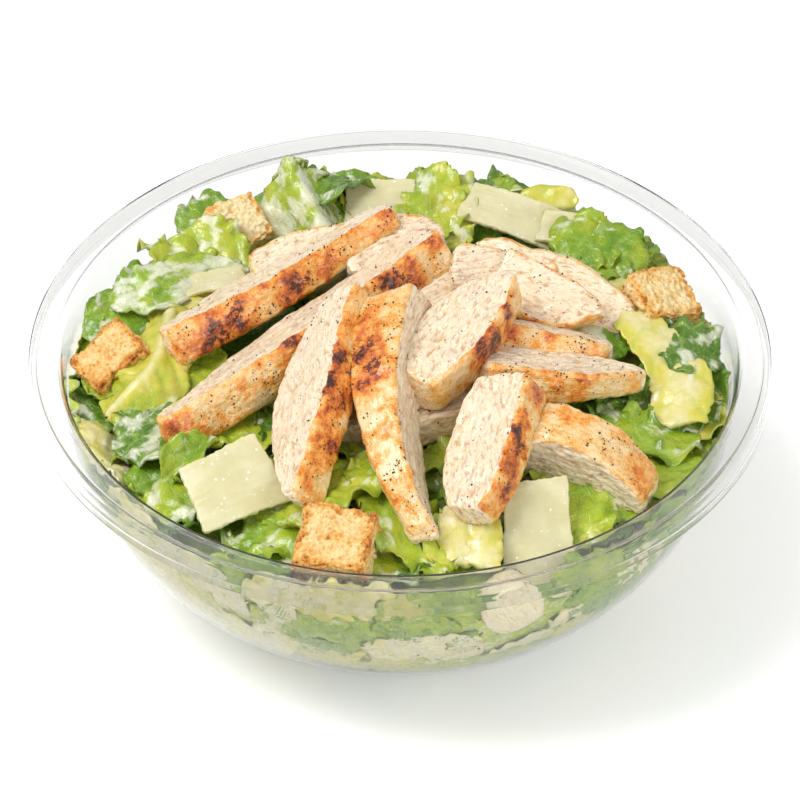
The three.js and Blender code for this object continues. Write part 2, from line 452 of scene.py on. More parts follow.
class Recipe(Nodes):
    """The nodes of one material."""

    def __init__(self, name: str) -> None:
        """Starts a material with one Principled shader.

        Args:
            name: The material's name.
        """
        self.material = bpy.data.materials.new(name)
        self.material.use_nodes = True
        super().__init__(self.material.node_tree)
        self.tree.nodes.clear()
        self.output = self.tree.nodes.new("ShaderNodeOutputMaterial")
        self.shader = self.tree.nodes.new("ShaderNodeBsdfPrincipled")
        self.join(self.shader.outputs["BSDF"], self.output.inputs["Surface"])
        self.place = self.stretch(self.node("ShaderNodeTexCoord", "Object"), (1 / MM,) * 3)

    def stretch(self, vector: Socket, scale: Point) -> Socket:
        """A vector with its parts multiplied."""
        return self.node("ShaderNodeVectorMath", 0, {0: vector, 1: scale}, operation="MULTIPLY")

    def value(self, name: str) -> Socket:
        """A value that the mesh holds at its points."""
        return self.node("ShaderNodeAttribute", "Fac", attribute_name=name)

    def vector(self, name: str) -> Socket:
        """A vector that the mesh holds at its points."""
        return self.node("ShaderNodeAttribute", "Vector", attribute_name=name)

    def noise(self, size: float, where: Socket | None = None, detail: float = 2.0) -> Socket:
        """Soft noise from 0 to 1 with features of a size in millimetres."""
        inputs = {"Vector": where or self.place, "Scale": 1 / size, "Detail": detail}
        return self.node("ShaderNodeTexNoise", "Fac", inputs)

    def cells(self, size: float, where: Socket | None = None, feature: str = "F1") -> Socket:
        """The distance to the middle of the nearest cell, or to its edge with DISTANCE_TO_EDGE."""
        inputs = {"Vector": where or self.place, "Scale": 1 / size}
        return self.node("ShaderNodeTexVoronoi", "Distance", inputs, feature=feature)

    def maths(self, operation: str, a: Source, b: Source = 0.0) -> Socket:
        """One sum on two values."""
        return self.node("ShaderNodeMath", 0, {0: a, 1: b}, operation=operation)

    def times(self, a: Source, b: Source) -> Socket:
        """Two values multiplied."""
        return self.maths("MULTIPLY", a, b)

    def add(self, *terms: Source | tuple[Socket, float]) -> Socket:
        """The sum of values.

        Args:
            terms: The values, each one a socket, a number or a (socket, factor) pair.

        Returns:
            The sum.
        """
        total: Source = 0.0
        for term in terms:
            total = self.maths("ADD", total, self.times(*term) if isinstance(term, tuple) else term)
        return total

    def step(self, value: Source, low: float, high: float, start: float = 0.0, end: float = 1.0) -> Socket:
        """A soft step from start, where a value is low, to end, where it is high."""
        inputs = {"Value": value, "From Min": low, "From Max": high, "To Min": start, "To Max": end}
        return self.node("ShaderNodeMapRange", "Result", inputs, interpolation_type="SMOOTHSTEP")

    def ramp(self, value: Source, shades: Shades) -> Socket:
        """A colour read off a row of colours.

        Args:
            value: Where it is read, 0 to 1.
            shades: The row of colours.

        Returns:
            The colour.
        """
        node = self.tree.nodes.new("ShaderNodeValToRGB")
        elements = node.color_ramp.elements
        while len(elements) < len(shades):
            elements.new(0.5)
        for element, (position, colour) in zip(elements, shades):
            element.position, element.color = position, (*colour, 1)
        self.join(value, node.inputs["Fac"])
        return node.outputs["Color"]

    def mix(self, share: Source, a: Source, b: Source) -> Socket:
        """Two colours mixed, by the share of the second."""
        return self.node("ShaderNodeMix", "Result", {"Factor": share, "A": a, "B": b}, data_type="RGBA")

    def bump(self, depth: float, strength: float, *heights: Source | tuple[Socket, float]) -> None:
        """Relief of a depth in millimetres from heights that are added together."""
        inputs = {"Strength": strength, "Distance": depth * MM, "Height": self.add(*heights)}
        self.set(Normal=self.node("ShaderNodeBump", "Normal", inputs))

    def set(self, **sockets: Source) -> None:
        """Sets or links the shader's inputs, named with _ for spaces."""
        for name, source in sockets.items():
            self.join(source, self.shader.inputs[name.replace("_", " ")])

    def soften(self, weight: float, radius: Colour) -> None:
        """Lets light through the surface, by depths in millimetres for red, green and blue."""
        self.set(Subsurface_Weight=weight, Subsurface_Scale=MM, Subsurface_Radius=radius)


@dataclass(frozen=True)
class ClearPlastic:
    """Thin clear plastic, faintly grey and hazy, that lets lamps through."""

    tint: Colour = (0.84, 0.84, 0.832)
    haze: float = 0.02
    roughness: float = 0.03
    bend: float = 1.19
    shade: Colour = (0.95, 0.955, 0.955)  # the share of a lamp's light that gets through

    def material(self) -> bpy.types.Material:
        """Builds the material.

        Returns:
            The material.
        """
        recipe = Recipe("clear_plastic")
        recipe.set(Base_Color=self.tint, Roughness=self.roughness, IOR=self.bend)
        recipe.set(Transmission_Weight=1 - self.haze)
        clear = recipe.node("ShaderNodeBsdfTransparent", 0, {"Color": self.shade})
        shadow = recipe.node("ShaderNodeLightPath", "Is Shadow Ray")
        inputs = {0: shadow, 1: recipe.shader.outputs["BSDF"], 2: clear}
        either = recipe.node("ShaderNodeMixShader", 0, inputs)
        recipe.join(either, recipe.output.inputs["Surface"])
        return recipe.material


@dataclass(frozen=True)
class RoastMeat:
    """Grilled chicken breast: pale fibrous cut faces with painted shade in their hollows, a golden skin side
    and dark grill marks.
    """

    name: str = "roast_chicken"
    flesh: Colour = (0.96, 0.79, 0.59)
    fibre: Colour = (0.92, 0.71, 0.45)
    # painted shade: the colour of the cut faces' crumbs, creases, cracks and partings
    hollow: Colour = (0.58, 0.29, 0.075)
    dust: Colour = (0.10, 0.035, 0.012)
    charcoal: Colour = (0.055, 0.012, 0.006)
    browning: Shades = (
        (0.0, (0.91, 0.66, 0.35)),
        (0.16, (0.90, 0.54, 0.18)),
        (0.32, (0.88, 0.37, 0.055)),
        (0.48, (0.76, 0.21, 0.020)),
        (0.66, (0.50, 0.088, 0.011)),
        (0.86, (0.18, 0.030, 0.007)),
        (1.0, (0.032, 0.010, 0.007)),
    )
    blotch_size: float = 5.0
    mottle_size: float = 1.4
    grit_size: float = 0.5
    speck_size: float = 0.95
    relief: float = 0.55

    def material(self) -> bpy.types.Material:
        """Builds the material.

        Returns:
            The material.
        """
        recipe = Recipe(self.name)
        skin, char, grain = recipe.value("skin"), recipe.value("char"), recipe.vector("grain")
        blotch = recipe.noise(self.blotch_size)
        mottle = recipe.noise(self.mottle_size, detail=4)
        grit = recipe.noise(self.grit_size, detail=3)

        # the cut faces: fibres, small open crumbs and creases, all drawn out along the grain, with painted
        # shade in the crumbs, creases and cracks
        strand = recipe.noise(1.0, recipe.stretch(grain, (0.34, 1.3, 1.1)), 3)
        crumb = recipe.noise(0.9, recipe.stretch(grain, (0.32, 1.2, 1.2)), 2)
        crease = recipe.add(recipe.noise(1.3, recipe.stretch(grain, (0.30, 1.0, 0.85)), 1), -0.5)
        crease = recipe.step(recipe.maths("ABSOLUTE", crease), 0.024, 0.004)
        crease = recipe.times(crease, recipe.step(mottle, 0.48, 0.58))
        fibres = recipe.step(recipe.add((strand, 0.5), (blotch, 0.5)), 0.36, 0.56, 0.7, 0)
        # painted shade: the sunken crumbs, cracks, partings and creases are darkened
        shaded_gaps = recipe.maths("MAXIMUM", recipe.step(crumb, 0.36, 0.29, 0, 0.72),
                            recipe.times(recipe.value("hollow"), 0.65))
        shaded_gaps = recipe.maths("MAXIMUM", shaded_gaps, recipe.times(crease, 0.7))
        flesh = recipe.mix(shaded_gaps, recipe.mix(fibres, self.flesh, self.fibre), self.hollow)

        # the skin side: browner in blotches and at the grill marks, and burnt black in spots on those
        roast = recipe.add((blotch, 1.15), (mottle, 0.6), (grit, 0.45), -0.975)
        brown = recipe.ramp(recipe.add(roast, (char, 0.62)), self.browning)
        burnt = recipe.step(recipe.add((mottle, 0.55), (grit, 0.45), (char, 0.08)), 0.55, 0.62)
        burnt = recipe.times(burnt, recipe.step(char, 0.5, 0.95, 0, 0.95))
        brown = recipe.mix(burnt, brown, self.charcoal)
        cover = recipe.step(recipe.add(skin, (mottle, 0.5), -0.25), 0.25, 0.7)

        # fine specks of spice, most of them on the skin
        specks = recipe.step(recipe.cells(self.speck_size), 0.20, 0.11)
        specks = recipe.times(specks, recipe.step(blotch, 0.40, 0.58))
        specks = recipe.times(specks, recipe.step(cover, 0.0, 1.0, 0.25, 0.8))
        recipe.set(Base_Color=recipe.mix(specks, recipe.mix(cover, flesh, brown), self.dust))
        recipe.set(Roughness=recipe.step(recipe.add(grit, (cover, -0.25)), 0.15, 0.6, 0.16, 0.42))
        recipe.set(Coat_Weight=0.6, Coat_Roughness=0.1)
        recipe.soften(0.3, (1.8, 0.8, 0.35))
        recipe.bump(self.relief, 1.0, (strand, 0.4), (crease, -0.25), (crumb, 0.7), (grit, 0.3),
                    (mottle, 0.9), (burnt, 0.25))
        return recipe.material


@dataclass(frozen=True)
class ToastedBread:
    """Toasted crumb, brown on its edges, with painted shade darkening its pits and small painted holes."""

    shades: Shades = (
        (0.0, (0.92, 0.77, 0.46)),
        (0.25, (0.88, 0.63, 0.27)),
        (0.50, (0.80, 0.43, 0.095)),
        (0.75, (0.58, 0.20, 0.028)),
        (1.0, (0.24, 0.065, 0.012)),
    )
    hole_size: float = 1.3
    relief: float = 0.5

    def material(self) -> bpy.types.Material:
        """Builds the material.

        Returns:
            The material.
        """
        recipe = Recipe("toasted_bread")
        toast, pit = recipe.value("toast"), recipe.value("pit")
        patch, mottle, grit = recipe.noise(3.2), recipe.noise(1.1, detail=3), recipe.noise(0.35)
        # painted shade: small dark holes, and the pits below, make the crumb darker
        shaded_holes = recipe.step(recipe.cells(self.hole_size), 0.36, 0.16)
        shade = recipe.add((toast, 0.5), (patch, 0.5), (mottle, 0.7), (grit, 0.5), (pit, 0.16),
                           (shaded_holes, 0.2), -0.66)
        recipe.set(Base_Color=recipe.ramp(shade, self.shades), Roughness=0.62)
        recipe.soften(0.15, (1.0, 0.5, 0.2))
        recipe.bump(self.relief, 1.0, (recipe.noise(0.7, detail=4), 0.9), (mottle, 0.9), (pit, -0.3))
        return recipe.material


@dataclass(frozen=True)
class HardCheese:
    """Hard cheese, waxy and pale, with scattered white grains."""

    body: Colour = (0.66, 0.61, 0.34)
    pale: Colour = (0.74, 0.69, 0.44)
    grains: Colour = (0.92, 0.90, 0.78)
    cloud_size: float = 7.0
    grain_size: float = 1.6
    relief: float = 0.12

    def material(self) -> bpy.types.Material:
        """Builds the material.

        Returns:
            The material.
        """
        recipe = Recipe("hard_cheese")
        dots = recipe.step(recipe.cells(self.grain_size), 0.28, 0.10)
        dots = recipe.times(dots, recipe.step(recipe.noise(4.5, detail=4), 0.50, 0.60))
        cloud = recipe.step(recipe.noise(self.cloud_size), 0.35, 0.7)
        recipe.set(Base_Color=recipe.mix(dots, recipe.mix(cloud, self.body, self.pale), self.grains))
        recipe.set(Roughness=0.42, Coat_Weight=0.1, Coat_Roughness=0.3)
        recipe.soften(0.5, (2.0, 1.8, 1.0))
        recipe.bump(self.relief, 0.7, (recipe.noise(0.6, detail=3), 0.5), (recipe.noise(2.5), 0.5))
        return recipe.material


@dataclass(frozen=True)
class DressedLeaf:
    """Wet romaine from pale rib to dark green blade, with creamy dressing smeared on it."""

    greens: Shades = (
        (0.0, (0.80, 0.72, 0.40)),
        (0.20, (0.66, 0.59, 0.088)),
        (0.42, (0.41, 0.495, 0.022)),
        (0.66, (0.165, 0.32, 0.012)),
        (1.0, (0.030, 0.11, 0.008)),
    )
    vein: Colour = (0.45, 0.60, 0.12)
    dressing: Colour = (0.82, 0.82, 0.65)
    net_size: float = 1.9
    relief: float = 0.3

    def material(self) -> bpy.types.Material:
        """Builds the material.

        Returns:
            The material.
        """
        recipe = Recipe("dressed_leaf")
        tone, blade = recipe.value("tone"), recipe.vector("blade")
        patch, mottle = recipe.noise(6.0, blade), recipe.noise(1.5, blade, 3)
        fine = recipe.noise(0.5, blade)
        streak = recipe.noise(1.0, recipe.stretch(blade, (0.3, 0.9, 0.9)), 4)
        net = recipe.step(recipe.cells(self.net_size, blade, "DISTANCE_TO_EDGE"), 0.11, 0.0)
        net = recipe.times(net, recipe.step(tone, 0.2, 0.5))
        shade = recipe.add(tone, (patch, 0.34), (mottle, 0.20), -0.27)
        veined = recipe.step(recipe.value("vein"), 0.2, 0.9, 0, 0.4)
        green = recipe.mix(veined, recipe.ramp(shade, self.greens), self.vein)
        green = recipe.mix(recipe.times(net, 0.14), green, self.vein)
        film = recipe.add(recipe.value("dress"), (streak, 1.2), (mottle, 0.6), (net, 0.10), -0.92)
        cream = recipe.step(film, 0.38, 1.05, 0, 0.78)
        recipe.set(Base_Color=recipe.mix(cream, green, self.dressing))
        recipe.set(Roughness=recipe.step(mottle, 0.3, 0.7, 0.2, 0.38), Coat_Weight=0.3, Coat_Roughness=0.08)
        recipe.soften(0.15, (0.5, 0.8, 0.2))
        recipe.bump(self.relief, 0.8, (net, -0.3), (mottle, 0.5), (fine, 0.25), (cream, 0.25))
        return recipe.material


@dataclass(frozen=True)
class Seasoning:
    """Ground black pepper."""

    colours: tuple[Colour, Colour] = ((0.016, 0.010, 0.008), (0.15, 0.06, 0.02))
    patch_size: float = 0.8

    def material(self) -> bpy.types.Material:
        """Builds the material.

        Returns:
            The material.
        """
        recipe = Recipe("ground_pepper")
        recipe.set(Base_Color=recipe.mix(recipe.noise(self.patch_size), *self.colours), Roughness=0.6)
        return recipe.material


# ---- The bowl ------------------------------------------------------------------------------------


@dataclass(frozen=True)
class Bowl:
    """The clear bowl: one thin sheet, formed into a flat foot, a round body and a beaded rim."""

    rim: float = 92.5
    height: float = 65.0
    rim_depth: float = 7.0
    shoulder: float = 83.3
    shoulder_drop: float = 6.2
    foot: float = 29.0
    roundness: float = 1.85
    wall: float = 0.6
    around: int = 420
    body_steps: int = 40

    def curve(self, share: np.ndarray) -> np.ndarray:
        """The body's outline, a quarter of a rounded square.

        Args:
            share: From 0 at the foot's edge to 1 at the shoulder.

        Returns:
            The radius and the height of the outer face.
        """
        power = 2 / self.roundness
        angle = np.clip(share, 0, 1) * math.pi / 2
        reach, rise = np.sin(angle) ** power, 1 - np.maximum(np.cos(angle), 0) ** power
        depth = self.height - self.shoulder_drop
        return stacked(self.foot + (self.shoulder - self.foot) * reach, depth * rise)

    def body(self, share: np.ndarray, inset: float | np.ndarray = 0.0) -> tuple[np.ndarray, np.ndarray]:
        """Radius and height of the body's outer face, or of a face inside it.

        Args:
            share: From 0 at the foot's edge to 1 at the shoulder.
            inset: How far inside the outer face, in millimetres.

        Returns:
            The radius and the height.
        """
        share = np.asarray(share, float)
        along = self.curve(np.minimum(share + 0.01, 1)) - self.curve(np.maximum(share - 0.01, 0))
        along = normalised(along)
        place = self.curve(share)
        return place[..., 0] - along[..., 1] * inset, place[..., 1] + along[..., 0] * inset

    def reach(self, height: np.ndarray, inset: float) -> np.ndarray:
        """The radius inside the body at a height, less an inset."""
        radius, rise = self.body(np.linspace(0, 1, 200), inset)
        return np.interp(height, rise, radius)

    def keep_in(self, points: np.ndarray, inset: float) -> np.ndarray:
        """Points pressed flat against the inside of the wall or the foot where they would pass through.

        Args:
            points: The points.
            inset: How far they stay from the plastic.

        Returns:
            The moved points.
        """
        radius = np.hypot(points[:, 0], points[:, 1])
        limit = self.reach(points[:, 2], self.wall + inset)
        shrink = np.minimum(limit / np.maximum(radius, 1e-6), 1)
        pressed = points * stacked(shrink, shrink, np.ones_like(shrink))
        pressed[:, 2] = np.maximum(pressed[:, 2], self.wall + inset)
        return pressed

    def sheet(self) -> np.ndarray:
        """The middle of the sheet, from the foot's middle to the skirt's edge.

        Returns:
            Its points, each a radius and a height.
        """
        foot = [(r, 0.0) for r in np.linspace(0, self.foot - 3, 6)]
        body = stacked(*self.body(np.linspace(0, 1, self.body_steps)))
        top, edge, bead, flange = self.height, self.rim, self.shoulder + 2.2, self.rim - 3.7
        rim = (
            (self.shoulder + 0.25, top - 4.4), (self.shoulder + 0.6, top - 2.6), (bead - 1.1, top - 1.0),
            (bead - 0.5, top - 0.2), (bead, top), (bead + 0.7, top - 0.15), (bead + 1.3, top - 0.55),
            (flange - 0.9, top - 0.75), (flange + 1.2, top - 0.7), (edge - 1.9, top - 0.2),
            (edge - 1.3, top), (edge - 0.7, top - 0.15), (edge - 0.25, top - 0.8), (edge - 0.1, top - 2.2),
            (edge - 0.15, top - 4.0), (edge - 0.02, top - 4.7), (edge - 0.15, top - 5.4),
            (edge, top - self.rim_depth),
        )
        line = np.concatenate([foot, body, between(rim, np.linspace(0, 1, 4 * len(rim)))])
        line[:, 1] += self.wall / 2 * (1 - line[:, 1] / self.height)
        return line

    def build(self) -> None:
        """Makes the bowl, with the sheet turned about its axis."""
        line = self.sheet()
        along = normalised(np.gradient(line, axis=0))
        half = stacked(along[:, 1], -along[:, 0]) * self.wall / 2
        half[0], half[:, 0] = (0, -self.wall / 2), np.where(line[:, 0] < 1e-6, 0, half[:, 0])
        outline = np.concatenate([line + half, (line - half)[::-1]])
        radius, height = np.clip(outline[:, :1], 0, self.rim), outline[:, 1:]
        angle = circle(self.around)
        points = stacked(radius * np.cos(angle), radius * np.sin(angle), height + 0 * angle).reshape(-1, 3)
        surface = Surface().add(points, ring_quads(len(outline), self.around))
        bowl = surface.piece("clear_bowl", ClearPlastic().material())
        close_poles(bowl)
        settle(bowl, "clear_plastic", "bowl")


# ---- The chicken ---------------------------------------------------------------------------------


CLEARANCE = 0.15  # how far the toppings stay from the plastic


@dataclass(frozen=True)
class Topping:
    """A piece that lies on the heap, in the place of one solid."""

    LOOK: ClassVar[str] = ""  # what its finished piece is called, in place of the solid's first word

    node: str

    def noise(self) -> Noise:
        """Noise of its own, which follows from its name."""
        return Noise(sum(map(ord, self.node)))

    def surface(self, bowl: Bowl) -> Surface:
        """Shapes the piece. Each kind of topping has its own way."""
        raise NotImplementedError

    def build(self, bowl: Bowl, material: bpy.types.Material, peppered: Surface | None = None) -> None:
        """Makes the piece.

        Args:
            bowl: The bowl that it lies in.
            material: Its finish.
            peppered: The surface that pepper is strewn on, if this piece is a part of it.
        """
        slot, place = self.node.split("_", 1)
        surface = self.surface(bowl)
        settle(surface.piece(f"{self.LOOK}_{place}", material), slot, self.node)
        if peppered is not None:
            peppered.add(surface.points[0], surface.quads[0], peppered=surface.values["peppered"][0])


class Skin(Enum):
    """The long side of a slice that lay on the grill."""

    NEAR = -1
    FAR = 1


Mark = tuple[float, float, float, float]  # a grill mark: along 0 to 1, across -1 to 1, size, strength


@dataclass(frozen=True)
class Slice(Topping):
    """One slice of grilled breast, from one end to the other, in the place of its solid."""

    LOOK: ClassVar[str] = "slice"

    start: Point
    end: Point
    roll: float
    widths: tuple[float, ...]
    thick: tuple[float, ...]
    arch: float
    sag: float
    skin: Skin
    marks: tuple[Mark, ...] = ()
    ends: tuple[float, float] = (0.2, 0.2)  # how brown its two ends are
    back: float = 0.35  # how brown its other long side is
    roast: float = 0.0  # how much browner than most its skin is
    grain: float = 12.0  # how far the fibres turn from its length, in degrees
    step: float = 0.44

    def basis(self) -> tuple[np.ndarray, np.ndarray, float]:
        """How it lies.

        Returns:
            Its directions along, across and out of the upper cut face, its middle and its length.
        """
        start, end = np.array(self.start, float), np.array(self.end, float)
        length = float(np.linalg.norm(end - start))
        along = (end - start) / length
        flat = normalised(np.array((0, 0, 1.0)) - along * along[2])
        across, facing = turned(np.cross(flat, along), flat, math.radians(self.roll))
        return np.stack([along, across, facing]), (start + end) / 2, length

    def local(self) -> tuple[np.ndarray, np.ndarray, np.ndarray]:
        """Its box with blunt edges, in its own directions.

        Returns:
            The points, the quads, and each point's distance from the skin side, the side opposite, the two
            ends and the upper cut face.
        """
        length = self.basis()[2]
        steps = tuple(int(size / self.step) + 1 for size in (length / 2, max(self.widths), max(self.thick)))
        cube, quads = box_lattice(steps)
        a, b, c = (2 * cube).T
        width, thick = between(self.widths, (a + 1) / 2), between(self.thick, (a + 1) / 2)
        half = stacked(np.full_like(width, length / 2), width / 2, thick / 2)
        skinned = smooth(-0.2, 0.8, b * self.skin.value)
        blunt = 0.5 + 0.7 * skinned + 0.4 * smooth(0.7, 1, np.abs(a))
        local = rounded(stacked(a, b, c) * half, half, blunt)
        bow = 1 - a**2
        local[:, 0] += 0.9 * np.sign(a) * np.abs(a) ** 12 * (1 - b**2) * (1 - 0.6 * c**2)
        local[:, 1] += 0.5 * np.sign(b) * np.abs(b) ** 12 * (1 - c**2) + self.arch * bow
        local[:, 2] -= self.sag * bow
        near, far = half[:, 1] * (1 - b * self.skin.value), half[:, 1] * (1 + b * self.skin.value)
        edge = stacked(near, far, length / 2 * (1 + a), length / 2 * (1 - a), half[:, 2] * (1 - c))
        return local, quads, edge

    def browned(self, edge: np.ndarray, ragged: np.ndarray) -> np.ndarray:
        """How far each point is skin: all of the skin side, and less of the other side and the ends.

        Args:
            edge: Each point's distance from those sides, as local gives it.
            ragged: How far the edge of the skin strays at each point.

        Returns:
            0 on the cut faces to 1 on the skin.
        """
        skin = 1 - smooth(0.2, 1.6, edge[:, 0] + ragged)
        skin = np.maximum(skin, self.back * (1 - smooth(0.0, 1.4, edge[:, 1] + ragged)))
        for k, share in enumerate(self.ends):
            skin = np.maximum(skin, share * (1 - smooth(0.2, 2.4, edge[:, 2 + k] + ragged)))
        return skin

    def charring(self, local: np.ndarray, skin: np.ndarray, upper: np.ndarray, noise: Noise) -> np.ndarray:
        """How burnt each point is: ragged grill marks, and a golden line where the skin was cut.

        Args:
            local: The points in the slice's own directions.
            skin: How far each is skin, 0 to 1.
            upper: The distance from the upper cut face.
            noise: The slice's own noise.

        Returns:
            The burning, 0 to 1, at each point.
        """
        length = self.basis()[2]
        ragged = 2.4 * noise.fractal(local / 3.6) + 0.9 * noise.at(local / 1.1)
        golden = (1 - smooth(0.2, 3.0, upper)) * smooth(-0.5, 0.5, noise.at(local / 7 + 3))
        char = self.roast + 0.26 * golden
        for along, across, size, strength in self.marks:
            bow = self.sag * (1 - (2 * along - 1) ** 2)
            spot = ((along - 0.5) * length, across * between(self.thick, np.array(along)) / 2 - bow)
            gap = np.hypot(local[:, 0] - spot[0], (local[:, 2] - spot[1]) * 1.1) + ragged
            seared = 1 - smooth(0.35 * size, 1.1 * size, gap)
            halo = 0.6 * (1 - smooth(0.8 * size, 1.9 * size, gap))
            char = np.maximum(char, strength * np.maximum(seared, halo))
        return char * smooth(0.2, 0.7, skin)

    def fibres(self, local: np.ndarray, noise: Noise) -> np.ndarray:
        """Each point's place along and across the fibres, which wander a little.

        Args:
            local: The points in the slice's own directions.
            noise: The slice's own noise.

        Returns:
            The places.
        """
        place = local[:, :2] + 1.6 * noise.shift(local / 14)[:, :2]
        x, y = turned(place[:, 0], place[:, 1], math.radians(self.grain))
        return stacked(x, y, local[:, 2])

    def surface(self, bowl: Bowl) -> Surface:
        """Shapes the slice, with its skin, grill marks, grain and where pepper lies on it.

        Args:
            bowl: The bowl that it stays inside.

        Returns:
            The closed surface.
        """
        noise = self.noise()
        local, quads, edge = self.local()
        axes, middle, _ = self.basis()
        grain = self.fibres(local, noise)
        skin = self.browned(edge, 0.8 * noise.at(local / 2.2))
        char = self.charring(local, skin, edge[:, 4], noise)
        points = middle + local @ axes
        points = points + 0.5 * noise.shift(points / 11) + 0.28 * noise.shift(points / 3.2)
        outward = normals_of(points, quads)

        # the cut faces part and crack along the fibres, and the skin is blistered
        strands = noise.fractal(grain * (0.12, 0.8, 0.7), 2)
        cracks = smooth(0.28, 0.62, -noise.at(grain * (0.5, 1.0, 0.8) + 9))
        parting = noise.at((grain + 0.8 * noise.shift(grain / 5)) * (0.11, 0.36, 0.36) + 5)
        parting = np.exp(-((parting / 0.08) ** 2)) * smooth(-0.1, 0.45, noise.at(local / 6 + 2))
        meat = (0.2 * strands - 0.6 * cracks - 0.5 * parting + 0.25 * noise.at(grain * (0.08, 0.25, 0.25))
                + 0.22 * noise.at(grain * (0.6, 0.85, 0.85) + 2))
        crust = 0.24 * noise.at(points / 3.4) + 0.2 * noise.at(points / 1.3)
        lift = (1 - skin) * meat + skin * crust - char * 0.14 * np.abs(noise.at(points / 0.9))
        points = bowl.keep_in(points + outward * lift[:, None], CLEARANCE)

        # pepper lies on what faces up, in patches, and mostly on the skin
        patches = smooth(-0.5, 0.9, noise.fractal(points / 6)) ** 1.5
        peppered = smooth(0.0, 0.5, outward[:, 2]) * (0.15 + 0.85 * skin) * patches * 1.6
        # the cracks and partings, which the finish darkens with painted shade
        hollow = np.maximum(cracks, 0.8 * parting)
        return Surface().add(points, quads, skin=skin, char=char, hollow=hollow, grain=grain,
                             peppered=peppered)


